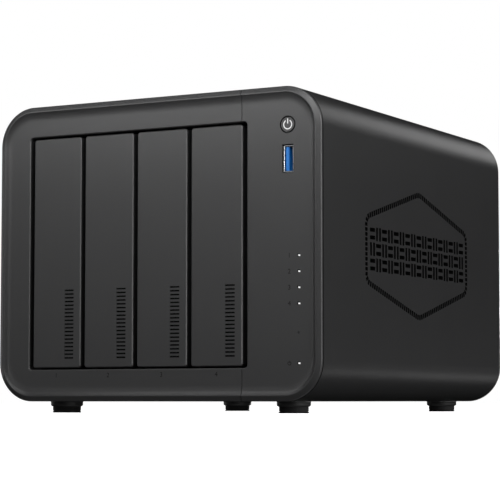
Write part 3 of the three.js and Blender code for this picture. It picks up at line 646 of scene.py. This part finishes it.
def bezel_mesh():
    """The whole bezel as one closed mesh, before it is split at the seam."""
    bm = bmesh.new()
    spigot_inner = SPIGOT_INSET + SPIGOT_WALL
    profile = [(spigot_inner, FACE_BACK), (spigot_inner, BEZEL_BACK)]
    profile += [(SPIGOT_INSET, BEZEL_BACK), (SPIGOT_INSET, FRONT + BEZEL_LIP)]
    rings = [case_ring(bm, inset, y, 24) for inset, y in profile + rim_profile()]
    # The lip's back face and its nick, in the seam groove, take the second material as painted shade.
    skin(bm, rings, dark={3, 4})
    fronts, backs = [rings[-1]], [rings[0]]

    opening = [ring(bm, bay_outline(out * MM), FACE + depth * MM) for out, depth in BAY_CHAMFER]
    collar = 2 * MM
    opening += [ring(bm, bay_outline(0), BEZEL_BACK), ring(bm, bay_outline(collar), BEZEL_BACK)]
    opening.append(ring(bm, bay_outline(collar), FACE_BACK))
    # The opening's walls behind its chamfer take the second material as painted shade.
    skin(bm, opening, dark=range(len(BAY_CHAMFER) - 1, len(opening)))
    fronts.append(opening[0])
    backs.append(opening[-1])

    def usb_outline(grow):
        half_wide, half_tall = (half + USB_GAP + grow for half in USB_HALF)
        return rounded(half_wide, half_tall, USB_CORNER + grow, USB.x, USB.z)

    wells = [(lambda grow: circle(BUTTON_HOLE + grow, BUTTON.x, BUTTON.z, 48), 0.1 * MM)]
    wells.append((usb_outline, 0.15 * MM))
    for height in LIGHT_Z:
        hole = SPARE_LIGHT_HOLE if height == SPARE_LIGHT_Z else LIGHT_HOLE
        wells.append((lambda grow, r=hole, z=height: circle(r + grow, LIGHT_X, z, 16), 0.05 * MM))
    for outline, edge in wells:
        front_loop, back_loop = well(bm, outline, FACE, FACE_BACK, edge)
        fronts.append(front_loop)
        backs.append(back_loop)
    fill(bm, fronts, ACROSS)
    fill(bm, backs, ACROSS)
    return bm


def make_bezel():
    """The bezel's two halves, either side of the seam."""
    whole = bezel_mesh()
    # Each half's second material is painted shade for its seam groove and opening walls: dark inner plastic
    # on the bays' half, near-black on the controls' half.
    halves = (("bezel_bays", 1, "bay_bezel", INNER_PLASTIC_AND_GAP_SHADE), ("bezel_controls", -1, "control_panel", RECESS_SHADE_AND_INK))
    for name, side, node, recess in halves:
        bm = whole.copy()
        cut_x = SEAM_X - side * SEAM / 2
        geometry = list(bm.verts) + list(bm.edges) + list(bm.faces)
        made = bmesh.ops.bisect_plane(
            bm, geom=geometry, dist=1e-7, plane_co=(cut_x, 0, 0), plane_no=(side, 0, 0), clear_outer=True
        )
        edges = [e for e in made["geom_cut"] if isinstance(e, bmesh.types.BMEdge)]
        bmesh.ops.triangle_fill(bm, edges=edges, use_beauty=True)
        piece(name, bm, [BEZEL, recess], "case", [node])
    whole.free()


# ---- trays

# The column of short recessed bars on each lever.
TICKS = 19
TICKS_X = 7.2 * MM
TICKS_LOW = 4.4 * MM
TICK_PITCH = 1.82 * MM
TICK_WIDTH = 5.2 * MM
TICK_HEIGHT = 0.8 * MM
TICK_DEPTH = 0.35 * MM

LEVER_CHAMFER = ((0.52, 0), (0.41, 0.03), (0.03, 0.41), (0, 0.52))  # (inset, depth) in millimetres
LEVER_CORNER = 1.3 * MM
LEVER_SKIN = 2.4 * MM
LEVER_WALL = 1.6 * MM
LEVER_FOOT = 7.2 * MM  # solid below the hollow
LEVER_HEAD = 3.6 * MM  # solid above it
RIB = 0.7 * MM
RIB_REACH = 18 * MM  # from the lever's middle to each of its two ribs
EAR_REACH = 8 * MM  # from the lever's middle to the slot for each hinge ear
EAR_HALF = 2.6 * MM
EAR_HEIGHT = 7 * MM
INSIDE_DEPTH = 0.7 * MM


def lever_mesh(x):
    """A hollow pull lever with softly rounded front edges and a column of short recessed bars."""
    height = (LEVER_TOP - LEVER_BOTTOM) / 2
    centre_z = (LEVER_TOP + LEVER_BOTTOM) / 2
    bm = bmesh.new()

    def outline(inset):
        return rounded(LEVER_HALF_WIDTH - inset, height - inset, LEVER_CORNER - inset, x, centre_z)

    rings = [ring(bm, outline(inset * MM), FACE + depth * MM) for inset, depth in LEVER_CHAMFER]
    back_edge = reversed(fillet(0.3 * MM, 2))
    rings += [ring(bm, outline(inset), LEVER_BACK - depth) for inset, depth in back_edge]
    solid(bm, rings)

    cutter = bmesh.new()
    beyond = 1 * MM
    side = LEVER_HALF_WIDTH - LEVER_WALL
    low, high = LEVER_BOTTOM + LEVER_FOOT, LEVER_TOP - LEVER_HEAD
    ribs = [centre_z - RIB_REACH, centre_z + RIB_REACH]
    for start, end in zip([low] + [rib + RIB for rib in ribs], [rib - RIB for rib in ribs] + [high]):
        block(cutter, (x - side, FACE + LEVER_SKIN, start), (x + side, LEVER_BACK + beyond, end))
    for ear in (x - EAR_REACH, x + EAR_REACH):
        ear_low = (ear - EAR_HALF, FACE + INSIDE_DEPTH, LEVER_BOTTOM - beyond)
        block(cutter, ear_low, (ear + EAR_HALF, LEVER_BACK + beyond, LEVER_BOTTOM + EAR_HEIGHT))
    bar_x, half_bar = x + TICKS_X, TICK_WIDTH / 2
    for i in range(TICKS):
        z = LEVER_BOTTOM + TICKS_LOW + i * TICK_PITCH
        bar_low = (bar_x - half_bar, FACE - beyond, z)
        block(cutter, bar_low, (bar_x + half_bar, FACE + TICK_DEPTH, z + TICK_HEIGHT))
    return boolean(bm, cutter)


def paint_lever(bm):
    """Gives the floors of the recessed bars the second material, dark lettering deepened by painted shade,
    and all that lies behind them the third, dark inner plastic that is painted shade on the side walls seen
    in the gaps.
    """
    for face in bm.faces:
        depth = face.calc_center_median().y - FACE
        if abs(depth - TICK_DEPTH) < 0.02 * MM and abs(face.normal.y) > 0.9:
            face.material_index = 1
        elif depth > INSIDE_DEPTH:
            face.material_index = 2


def make_trays():
    """Each tray's lever, with the carrier, catch spring and hinge pin behind it."""
    for number, x in zip(TRAYS, LEVER_X):
        bm = lever_mesh(x)
        paint_lever(bm)
        materials, node = [LEVER, RECESS_SHADE_AND_INK, INNER_PLASTIC_AND_GAP_SHADE], f"tray_lever_{number}"
        piece(f"lever_{number}_face", bm, materials, f"lever_{number}", [node])
        refine(f"tray_carrier_{number}", INNER_PLASTIC_AND_GAP_SHADE, 0.25 * MM, f"tray_{number}")
        refine(f"tray_catch_spring_{number}", STEEL, 0.1 * MM, f"tray_{number}")
        node = f"tray_hinge_pin_{number}"
        pin_low, pin_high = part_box(node)
        pin = middle(node)
        bm = bmesh.new()
        drum(bm, 0.9 * MM, (pin_low.x, pin.y, pin.z), (pin_high.x, pin.y, pin.z), "x")
        soften(bm, 0.15 * MM, angle=60)
        piece(f"hinge_pin_{number}", bm, STEEL, f"tray_{number}", [node])


# ---- feet

# These are (inset, height) points in millimetres, from the bottom up.
COLLAR_OUTLINE = ((0.85, 0), (0.7, 0.05), (0.2, 0.5), (0.12, 0.7))
SOLE_OUTLINE = ((0.3, 0), (0.05, 0.1), (0, 0.3), (0.05, 0.6))
SOLE_GROOVE = ((0.4, 0.65), (0.4, 0.95), (0.12, 1.0), (0.12, 1.3))
FOOT_NECK = 0.12 * MM


def foot_outline(outline, radius, bottom):
    """(radius, z) points from an outline given as insets."""
    return [(radius - inset * MM, bottom + height * MM) for inset, height in outline]


def make_feet():
    """Stepped feet: a collar that flares into the case, and a rubber sole with a groove round it."""
    for place in ("front_left", "front_right", "rear_left", "rear_right"):
        cup_low, cup_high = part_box(f"foot_cup_{place}")
        at = middle(f"foot_cup_{place}")
        radius = (cup_high.x - cup_low.x) / 2
        top = shell_low.z - TOUCH_GAP
        profile = [(0, cup_low.z)] + foot_outline(COLLAR_OUTLINE, radius, cup_low.z)
        profile += [(radius - FOOT_NECK, shell_low.z - 0.5 * MM), (radius, top), (0, top)]
        bm = bmesh.new()
        lathe(bm, profile, at.x, at.y)
        piece(f"foot_collar_{place}", bm, INNER_PLASTIC_AND_GAP_SHADE, "case", [f"foot_cup_{place}"])
        pad_low, pad_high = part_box(f"foot_pad_{place}")
        radius = (pad_high.x - pad_low.x) / 2
        top = cup_low.z - TOUCH_GAP
        profile = [(0, 0)] + foot_outline(SOLE_OUTLINE + SOLE_GROOVE, radius, 0)
        profile += [(radius - FOOT_NECK, top), (0, top)]
        bm = bmesh.new()
        lathe(bm, profile, at.x, at.y)
        piece(f"foot_sole_{place}", bm, RUBBER, "case", [f"foot_pad_{place}"])


# ---- front controls

# The standby sign. Its stroke and its bar's lower and upper ends are shares of its radius.
SIGN_STROKE = 0.24
SIGN_BAR = (0.2, 1.36)
SIGN_GAP = 0.52  # half the ring's opening, in radians


def arc_stroke(bm, x, z, radius, stroke, depths):
    """Adds an open ring, drawn from one side of the gap at its top round to the other."""
    steps = 40
    start, sweep = math.pi / 2 + SIGN_GAP, 2 * math.pi - 2 * SIGN_GAP
    angles = [start + sweep * i / steps for i in range(steps + 1)]
    loops = []
    for angle in angles:
        loop = []
        for distance, y in ((-1, depths[0]), (1, depths[0]), (1, depths[1]), (-1, depths[1])):
            reach = radius + distance * stroke / 2
            loop.append(bm.verts.new((x + reach * math.cos(angle), y, z + reach * math.sin(angle))))
        loops.append(loop)
    skin(bm, loops)
    bm.faces.new(loops[0])
    bm.faces.new(loops[-1])


def sign_mesh(x, z, radius, depths, grow=0.0):
    """The standby sign: an open ring with a short bar in its gap."""
    bm = bmesh.new()
    arc_stroke(bm, x, z, radius, SIGN_STROKE * radius + grow, depths)
    half = (SIGN_STROKE * radius + grow) / 2
    low, high = (z + end * radius for end in SIGN_BAR)
    block(bm, (x - half, depths[0], low - grow / 2), (x + half, depths[1], high + grow / 2))
    return bm


def make_button():
    """The button, with the standby sign let into its dished face as a lamp of its own."""
    button_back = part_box("power_button")[1].y
    dish = [(radius, BUTTON_DISH * (1 - (radius / BUTTON_RADIUS) ** 2)) for radius in (1.2 * MM, 2.4 * MM)]
    profile = [(radius, FACE + depth) for radius, depth in dish]
    profile += [(BUTTON_RADIUS - inset, FACE + depth) for inset, depth in fillet(0.15 * MM)]
    shaded_from = len(profile) - 1
    flange = FACE_BACK + 0.3 * MM
    flange_back = flange + 1 * MM
    profile += [(BUTTON_RADIUS, flange), (BUTTON_FLANGE, flange), (BUTTON_FLANGE, flange_back)]
    profile += [(BUTTON_STEM, flange_back), (BUTTON_STEM, button_back)]
    # The button's side in its groove, and the hidden flange and stem behind it, take the second material as
    # painted shade.
    bm = turned(profile, BUTTON.x, BUTTON.z, 64, dark=range(shaded_from, len(profile)))
    sunk = FACE + SIGN_DEPTH
    bm = boolean(bm, sign_mesh(BUTTON.x, BUTTON.z, SIGN_RADIUS, (FACE - 1 * MM, sunk), 0.04 * MM))
    piece("button_cap", bm, [BEZEL, INNER_PLASTIC_AND_GAP_SHADE], "button", ["power_button"])
    sign = sign_mesh(BUTTON.x, BUTTON.z, SIGN_RADIUS, (FACE + 0.1 * MM, sunk - TOUCH_GAP))
    piece("button_sign", sign, SIGN_GLOW, "button", ["power_sign_lens"])


def make_status_lights():
    """The status light guide, with a domed tip in each hole. Only the spare one is dark."""
    pipe_low, pipe_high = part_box("status_light_pipe")
    bar_front = FACE_BACK + 6 * MM
    bm = bmesh.new()
    block(bm, (LIGHT_X - 1 * MM, bar_front, pipe_low.z), (LIGHT_X + 1 * MM, pipe_high.y, pipe_high.z))
    piece("light_guide", bm, UNLIT, "case", ["status_light_pipe"])
    profile = [(0.43 * LIGHT_RADIUS, FACE), (0.78 * LIGHT_RADIUS, FACE + 0.05 * MM)]
    profile += [(LIGHT_RADIUS, FACE + 0.2 * MM), (LIGHT_RADIUS, bar_front - TOUCH_GAP)]
    for number, z in enumerate(LIGHT_Z, 1):
        material = UNLIT if z == SPARE_LIGHT_Z else GLOW
        piece(f"light_tip_{number}", turned(profile, LIGHT_X, z, 20), material, "case")


def make_front_usb():
    """The socket's can, set a little back in its opening, and its tongue."""
    low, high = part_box("usb_front_shell")
    half_wide, half_tall = USB_HALF
    sheet = 0.3 * MM
    bm = bmesh.new()

    def can_ring(inset, y):
        return ring(bm, rounded(half_wide - inset, half_tall - inset, 0.6 * MM - inset, USB.x, USB.z), y)

    front = low.y + 0.6 * MM
    edge = front + 0.1 * MM
    rings = [can_ring(sheet, high.y - 0.6 * MM), can_ring(sheet, edge)]
    rings += [can_ring(sheet * 0.7, front), can_ring(sheet * 0.3, front)]
    rings += [can_ring(0, edge), can_ring(0, high.y)]
    solid(bm, rings)
    piece("usb_front_can", bm, STEEL, "case", ["usb_front_shell"])
    make_usb_tongue("usb_front", USB.x + 0.15 * MM, USB.z)


def make_usb_tongue(name, contact_x, z):
    """The blue tongue of a USB-A socket, with four contacts centred on contact_x."""
    refine(f"{name}_tongue", USB_BLUE, 0.15 * MM)
    low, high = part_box(f"{name}_tongue")
    half_thick, half_wide = 0.06 * MM, 0.5 * MM
    front, back = low.y + 3.5 * MM, high.y - 6 * MM
    bm = bmesh.new()
    for i in range(4):
        at = z + (i - 1.5) * 2.3 * MM
        low_corner = (contact_x - half_thick, front, at - half_wide)
        block(bm, low_corner, (contact_x + half_thick, back, at + half_wide))
    piece(f"{name}_contacts", bm, GOLD, "case")


# ---- printed numbers

FIGURE_SIZE = 3.1 * MM
FIGURE_GAP = 4.8 * MM
FIGURE_DROP = 2.9 * MM
PRINT_HEIGHT = 0.015 * MM
PRINT_DEPTH = 0.005 * MM


def figure(name, text, x, z):
    """A small printed figure on the bezel's flat face."""
    curve = bpy.data.curves.new(name, "FONT")
    curve.body = text
    curve.size = FIGURE_SIZE
    curve.align_x = "CENTER"
    curve.align_y = "CENTER"
    curve.extrude = (PRINT_HEIGHT + PRINT_DEPTH) / 2
    flat = in_scene("scratch", curve)
    graph = bpy.context.evaluated_depsgraph_get()
    bm = bmesh.new()
    bm.from_mesh(flat.evaluated_get(graph).to_mesh())
    bpy.data.objects.remove(flat)
    bpy.data.curves.remove(curve)
    middle_y = FACE - (PRINT_HEIGHT - PRINT_DEPTH) / 2
    stand = Matrix.Translation((x, middle_y, z)) @ Matrix.Rotation(math.pi / 2, 4, "X")
    bmesh.ops.transform(bm, matrix=stand, verts=bm.verts)
    piece(name, bm, PRINT, "case")


def make_print():
    """A number beside each bay's light and under each bay, and a small standby sign by the power light."""
    x = LIGHT_X - FIGURE_GAP
    for number, light_z, lever_x in zip(TRAYS, BAY_LIGHT_Z, LEVER_X):
        figure(f"figure_light_{number}", str(number), x, light_z)
        figure(f"figure_bay_{number}", str(number), lever_x, BAY_BOTTOM - FIGURE_DROP)
    depths = (FACE - PRINT_HEIGHT, FACE + PRINT_DEPTH)
    mark = sign_mesh(x, POWER_LIGHT_Z, 0.8 * MM, depths, grow=0.12 * MM)
    piece("power_mark", mark, PRINT, "case")


# ---- the rear

SOCKETS = ("lan_port_1", "lan_port_2", "usb_rear_shell", "usb_c_port", "hdmi_port")
PORT_GAP = 0.3 * MM
GRILLE_PITCH = 5.2 * MM
GRILLE_RADIUS = 54 * MM
GRILLE_CELL = 2.3 * MM
SCREW_SHANK = 1.5 * MM
SCREW_HEAD = 3.2 * MM
SCREW_CROSS = (1.7 * MM, 0.4 * MM)  # half the length and half the width of its two bars
LOCK_SLOT = (70.1 * MM, 25.5 * MM)
LOCK_SLOT_HALF = (3.5 * MM, 1.5 * MM)


def grille_holes():
    """The fan grille's six-sided cells in staggered rows, each as a function that grows it."""
    fan = middle("fan_frame")
    row_pitch = GRILLE_PITCH * math.sin(math.pi / 3)
    rows = int(GRILLE_RADIUS / row_pitch)
    holes = []
    for row in range(-rows, rows + 1):
        z = row * row_pitch
        shift = GRILLE_PITCH / 2 if row % 2 else 0
        for column in range(-rows - 1, rows + 2):
            x = column * GRILLE_PITCH + shift
            if math.hypot(x, z) < GRILLE_RADIUS:
                holes.append(
                    lambda grow, x=fan.x + x, z=fan.z + z: circle(GRILLE_CELL + grow, x, z, 6, math.pi / 6)
                )
    return holes


def port_hole(node):
    """The rear panel's opening for one socket."""
    low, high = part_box(node)
    at, half = middle(node), (high - low) / 2 + Vector((PORT_GAP, 0, PORT_GAP))
    return lambda grow: rounded(half.x + grow, half.z + grow, 0.4 * MM + grow, at.x, at.z, 3)


def make_rear_panel():
    """The rear plate, with the fan grille, the openings for the sockets and screws, and a lock slot."""
    front, back = REAR - 5 * MM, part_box("rear_panel")[1].y
    bm = bmesh.new()
    profile = [(0, front)] + [(inset, back - depth) for inset, depth in reversed(fillet(0.3 * MM))]
    rings = [case_ring(bm, WALL + SEAM + inset, y, 16) for inset, y in profile]
    skin(bm, rings)
    inner_loops, outer_loops = [rings[0]], [rings[-1]]
    holes = grille_holes() + [port_hole(node) for node in SOCKETS + ("dc_jack",)]
    for i in TRAYS:
        at = middle(f"rear_screw_{i}")
        holes.append(lambda grow, at=at: circle(1.8 * MM + grow, at.x, at.z, 24))
    half_wide, half_tall = LOCK_SLOT_HALF
    holes.append(lambda grow: rounded(half_wide + grow, half_tall + grow, 1 * MM + grow, *LOCK_SLOT, 4))
    edge = 0.15 * MM
    for hole in holes:
        rings = [ring(bm, hole(0), front), ring(bm, hole(0), back - edge), ring(bm, hole(edge), back)]
        skin(bm, rings)
        inner_loops.append(rings[0])
        outer_loops.append(rings[-1])
    fill(bm, inner_loops, ACROSS)
    fill(bm, outer_loops, ACROSS)
    piece("rear_plate", bm, SHELL, "case", ["rear_panel"])


def make_screws():
    """Pan-head screws with a cross recess."""
    seat = REAR - 2.4 * MM
    shoulder = seat + 0.7 * MM
    for i in TRAYS:
        node = f"rear_screw_{i}"
        low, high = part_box(node)
        at = middle(node)
        profile = [(SCREW_SHANK, low.y), (SCREW_SHANK, seat)]
        profile += [(SCREW_HEAD - 0.1 * MM, seat), (SCREW_HEAD, seat + 0.3 * MM)]
        for angle in [math.pi / 2 * k / 6 for k in range(6)]:
            y = shoulder + (high.y - shoulder) * math.sin(angle)
            profile.append((SCREW_HEAD * math.cos(angle), y))
        cross = bmesh.new()
        start, end = high.y - 1 * MM, high.y + 1 * MM
        for wide, tall in (SCREW_CROSS, SCREW_CROSS[::-1]):
            block(cross, (at.x - wide, start, at.z - tall), (at.x + wide, end, at.z + tall))
        bm = boolean(turned(profile, at.x, at.z, 32), cross)
        piece(f"{node}_fine", bm, STEEL, "case", [node])


FAN_HUB = 19 * MM
FAN_TIP = 55.5 * MM
FAN_BLADES = 7
BLADE_CHORD_STEPS = 8
BLADE_SPAN_STEPS = 10
BLADE_CHORD = (0.62, 0.5)  # in radians, at the root and at the tip
BLADE_PITCH = (14 * MM, 9 * MM)  # front to back, at the root and at the tip
BLADE_SWEEP = 0.28
BLADE_CAMBER = 1.6 * MM
BLADE_THICK = 0.75 * MM
BLADE_EDGE = 0.12 * MM
BLADE_SINK = 0.5 * MM  # of the root into the hub
BLADE_AHEAD = 0.5 * MM


def blade_sheet(bm, fan, turn, side):
    """One side of a blade, swept back and twisted, as rows of vertices from its root to its tip."""
    (root_chord, tip_chord), (root_pitch, tip_pitch) = BLADE_CHORD, BLADE_PITCH
    rows = []
    for o in range(BLADE_SPAN_STEPS + 1):
        out = o / BLADE_SPAN_STEPS
        radius = FAN_HUB - BLADE_SINK + (FAN_TIP - FAN_HUB) * out
        chord = root_chord + (tip_chord - root_chord) * out
        pitch = root_pitch + (tip_pitch - root_pitch) * out
        row = []
        for a in range(BLADE_CHORD_STEPS + 1):
            t = a / BLADE_CHORD_STEPS - 0.5
            angle = turn + t * chord + BLADE_SWEEP * out**1.4
            camber = BLADE_CAMBER * (1 - 4 * t * t)
            thick = BLADE_THICK * math.sqrt(1 - (2 * t) ** 4) + BLADE_EDGE
            y = fan.y - BLADE_AHEAD - t * pitch + camber + side * thick
            x, z = fan.x + radius * math.cos(angle), fan.z + radius * math.sin(angle)
            row.append(bm.verts.new((x, y, z)))
        rows.append(row)
    for first, second in zip(rows, rows[1:]):
        for k in range(BLADE_CHORD_STEPS):
            bm.faces.new((first[k], first[k + 1], second[k + 1], second[k]))
    return rows


def sheet_border(rows):
    """The vertices round a blade sheet's four edges."""
    return rows[0] + [row[-1] for row in rows[1:]] + rows[-1][-2::-1] + [row[0] for row in rows[-2:0:-1]]


def make_fan():
    """The fan's frame, and its rotor: a domed hub and seven blades."""
    fan = middle("fan_frame")
    refine("fan_frame", INNER_PLASTIC_AND_GAP_SHADE, 0.3 * MM)
    rotor_low, rotor_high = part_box("fan_rotor")
    dome = ((6, 0.0), (14, 0.1), (17.5, 0.7), (18.7, 1.8), (19, 3.2))  # (radius, depth) in millimetres
    profile = [(radius * MM, rotor_low.y + depth * MM) for radius, depth in dome]
    profile.append((FAN_HUB, rotor_high.y))
    hub = turned(profile, fan.x, fan.z, 64)
    piece("fan_hub", hub, INNER_PLASTIC_AND_GAP_SHADE, "rotor", ["fan_rotor"])
    for blade in range(FAN_BLADES):
        bm = bmesh.new()
        sheets = [blade_sheet(bm, fan, 2 * math.pi * blade / FAN_BLADES, side) for side in (-1, 1)]
        skin(bm, [sheet_border(rows) for rows in sheets])
        piece(f"fan_blade_{blade + 1}", bm, INNER_PLASTIC_AND_GAP_SHADE, "rotor")


def make_rear_ports():
    """The sockets' own shells, with a tongue in the USB one and eight contacts in each network one."""
    for node in SOCKETS:
        refine(node, STEEL, 0.12 * MM)
    refine("dc_jack", CONNECTOR, 0.15 * MM, angle=50)
    usb = middle("usb_rear_shell")
    make_usb_tongue("usb_rear", usb.x + 0.25 * MM, usb.z)
    for i in (1, 2):
        low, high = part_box(f"lan_port_{i}")
        at = middle(f"lan_port_{i}")
        left, right = at.x - 4.5 * MM, at.x - 4.1 * MM
        front, back = low.y + 4.2 * MM, high.y - 3 * MM
        bm = bmesh.new()
        for k in range(8):
            z = at.z + (k - 3.5) * 1.02 * MM
            block(bm, (left, front, z - 0.2 * MM), (right, back, z + 0.2 * MM))
        piece(f"lan_contacts_{i}", bm, GOLD, "case")


# ---- inside


def chip(bm, face_x, y, z, size_y, size_z, tall):
    """Adds a flat chip that stands on a board's face."""
    block(bm, (face_x, y - size_y / 2, z - size_z / 2), (face_x + tall, y + size_y / 2, z + size_z / 2))


def make_inside():
    """The boards and what sits on them, which show when the trays are out."""
    for node in ("front_io_board", "backplane_board", "main_board", "memory_module"):
        refine(node, BOARD, 0.1 * MM)
    for node in ["power_switch", "processor", "memory_socket"] + [f"sata_connector_{i}" for i in TRAYS]:
        refine(node, CONNECTOR, 0.15 * MM)
    refine("heatsink", ALUMINIUM, 0.15 * MM)
    refine("drive_cage", INNER_PLASTIC_AND_GAP_SHADE, 0.3 * MM)
    board_x, memory_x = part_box("main_board")[1].x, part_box("memory_module")[1].x
    bm = bmesh.new()
    for row in range(4):
        for column in range(5):
            chip(bm, board_x, (-18 + 12 * column) * MM, (32 + 5 * row) * MM, 4.5 * MM, 2.2 * MM, 1.2 * MM)
    for k in range(4):
        chip(bm, memory_x, -43 * MM, (50 + 16 * k) * MM, 9 * MM, 12 * MM, 1 * MM)
    piece("board_chips", bm, CONNECTOR, "case")
    back_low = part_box("backplane_board")[0]
    bm = bmesh.new()
    for lever_x in LEVER_X:
        x = lever_x - 4 * MM
        for k in range(3):
            z = back_low.z + (68 + 9 * k) * MM
            drum(bm, 2.2 * MM, (x, back_low.y - 5 * MM, z), (x, back_low.y, z), "y")
    piece("backplane_capacitors", bm, ALUMINIUM, "case")


# ---- stage

CAMERA_AZIMUTH = math.radians(28.764)
CAMERA_PITCH = math.radians(4.394)
CAMERA_LENS = 140.62
CAMERA_RIGHT = 483.76 * MM
CAMERA_AHEAD = 785.48 * MM
CAMERA_ABOVE_CASE = 0.66 * MM


def make_camera():
    """The camera, to the right of the case and a little above its underside, looking slightly up."""
    data = bpy.data.cameras.new("camera")
    data.lens = CAMERA_LENS
    data.sensor_width = 36
    data.clip_start = 0.01
    camera = in_scene("camera", data)
    camera.location = (CAMERA_RIGHT, FRONT - CAMERA_AHEAD, shell_low.z + CAMERA_ABOVE_CASE)
    camera.rotation_euler = (math.pi / 2 + CAMERA_PITCH, 0, CAMERA_AZIMUTH)
    bpy.context.scene.camera = camera


def area_light(name, place, target, size, power):
    """A soft box that the camera doesn't see, turned from its place towards its target."""
    data = bpy.data.lights.new(name, "AREA")
    data.shape = "RECTANGLE"
    data.size, data.size_y = size
    data.energy = power
    light = in_scene(name, data)
    light.location = place
    direction = Vector(target) - Vector(place)
    light.rotation_euler = direction.to_track_quat("-Z", "Y").to_euler()
    light.visible_camera = False


def make_floor():
    """A pale floor that only the camera sees, so it neither lights the object nor shades it."""
    bpy.ops.mesh.primitive_plane_add(size=6)
    floor = bpy.context.object
    floor.name = "floor"
    material, tree, principled, where = shader("pale_floor", 0.9)
    tone = ramp(tree, noise(tree, where, 3), 0.86, 0.9)
    put(principled, {"Base Color": tone, "Emission Color": (1, 1, 1, 1), "Emission Strength": 1.0})
    floor.data.materials.append(material)
    floor.visible_diffuse = False
    floor.visible_glossy = False
    floor.visible_shadow = False


def make_studio_lights():
    """Soft studio light, in five groups."""
    case = (0, -0.02, 0.078)
    # Close lights over the front, which make its face fade from top to bottom.
    area_light("front_near", (0.0, -0.26, 0.19), (0, -0.12, 0.08), (0.4, 0.04), 0.2)
    area_light("front_near_right", (0.13, -0.25, 0.26), (0.08, -0.11, 0.07), (0.12, 0.05), 0.12)
    area_light("top_rim", (0.0, -0.15, 0.185), (0, -0.115, 0.1), (0.34, 0.02), 0.055)
    # Soft boxes in front, from the middle round to the left.
    area_light("front_middle", (-0.25, -1.5, 0.3), case, (0.4, 0.5), 1.25)
    area_light("front_left", (-0.75, -1.2, 0.3), case, (0.3, 0.5), 0.4)
    area_light("far_left", (-1.1, -0.75, 0.2), case, (0.3, 0.6), 0.9)
    area_light("low_left", (-0.6, -0.75, -0.7), case, (0.5, 0.3), 0.08)
    # Strips and a soft box on the right, for the right rim and the sleeve's side.
    area_light("right_strip", (1.05, -0.58, 0.11), (0, -0.1, 0.078), (0.05, 0.9), 4.7)
    area_light("right_strip_high", (0.96, -0.54, 0.56), (0, -0.1, 0.078), (0.05, 0.5), 0.95)
    area_light("right_high", (1.2, 0.1, 0.5), case, (0.3, 0.5), 9.4)
    # Lights behind the right shoulder, for the highlights along the sleeve's round edges.
    area_light("shoulder", (0.26, 1.05, 0.56), (0.07, 0, 0.12), (0.4, 0.3), 0.53)
    area_light("shoulder_low", (0.34, 1.05, 0.49), (0.07, 0, 0.12), (0.2, 0.2), 0.05)
    area_light("lower_edge", (0.56, 1.05, -0.04), (0.07, 0, 0.07), (0.3, 0.12), 0.025)
    area_light("lower_edge_low", (0.48, 1.05, -0.25), (0.07, 0, 0.07), (0.3, 0.15), 0.12)
    # Fill for the sides that the camera doesn't see.
    area_light("under", (0.1, 0.0, -0.8), (0, 0, 0), (0.6, 0.6), 0.8)
    area_light("behind", (-0.02, 1.1, 0.07), (-0.02, 0.1, 0.07), (0.1, 0.12), 3)
    area_light("far_side", (-1.3, 0.25, 0.07), (0, 0, 0.075), (0.6, 0.5), 1.5)


def make_world():
    """White to the camera, and next to no light on the object."""
    world = bpy.data.worlds.new("studio")
    world.use_nodes = True
    tree = world.node_tree
    seen = add(tree, "Background", {"Color": (1, 1, 1, 1)})
    ambient = tree.nodes["Background"]
    put(ambient, {"Color": (1, 1, 1, 1), "Strength": 0.0005})
    path = add(tree, "LightPath", {})
    mix = add(tree, "MixShader", {"Fac": path.outputs["Is Camera Ray"]})
    tree.links.new(ambient.outputs["Background"], mix.inputs[1])
    tree.links.new(seen.outputs["Background"], mix.inputs[2])
    put(tree.nodes["World Output"], {"Surface": mix.outputs["Shader"]})
    bpy.context.scene.world = world
    bpy.context.scene.view_settings.view_transform = "Standard"


make_camera()
make_floor()
make_studio_lights()
make_world()
make_sleeve()
make_bezel()
make_trays()
make_feet()
make_button()
make_status_lights()
make_front_usb()
make_print()
make_rear_panel()
make_screws()
make_fan()
make_rear_ports()
make_inside()
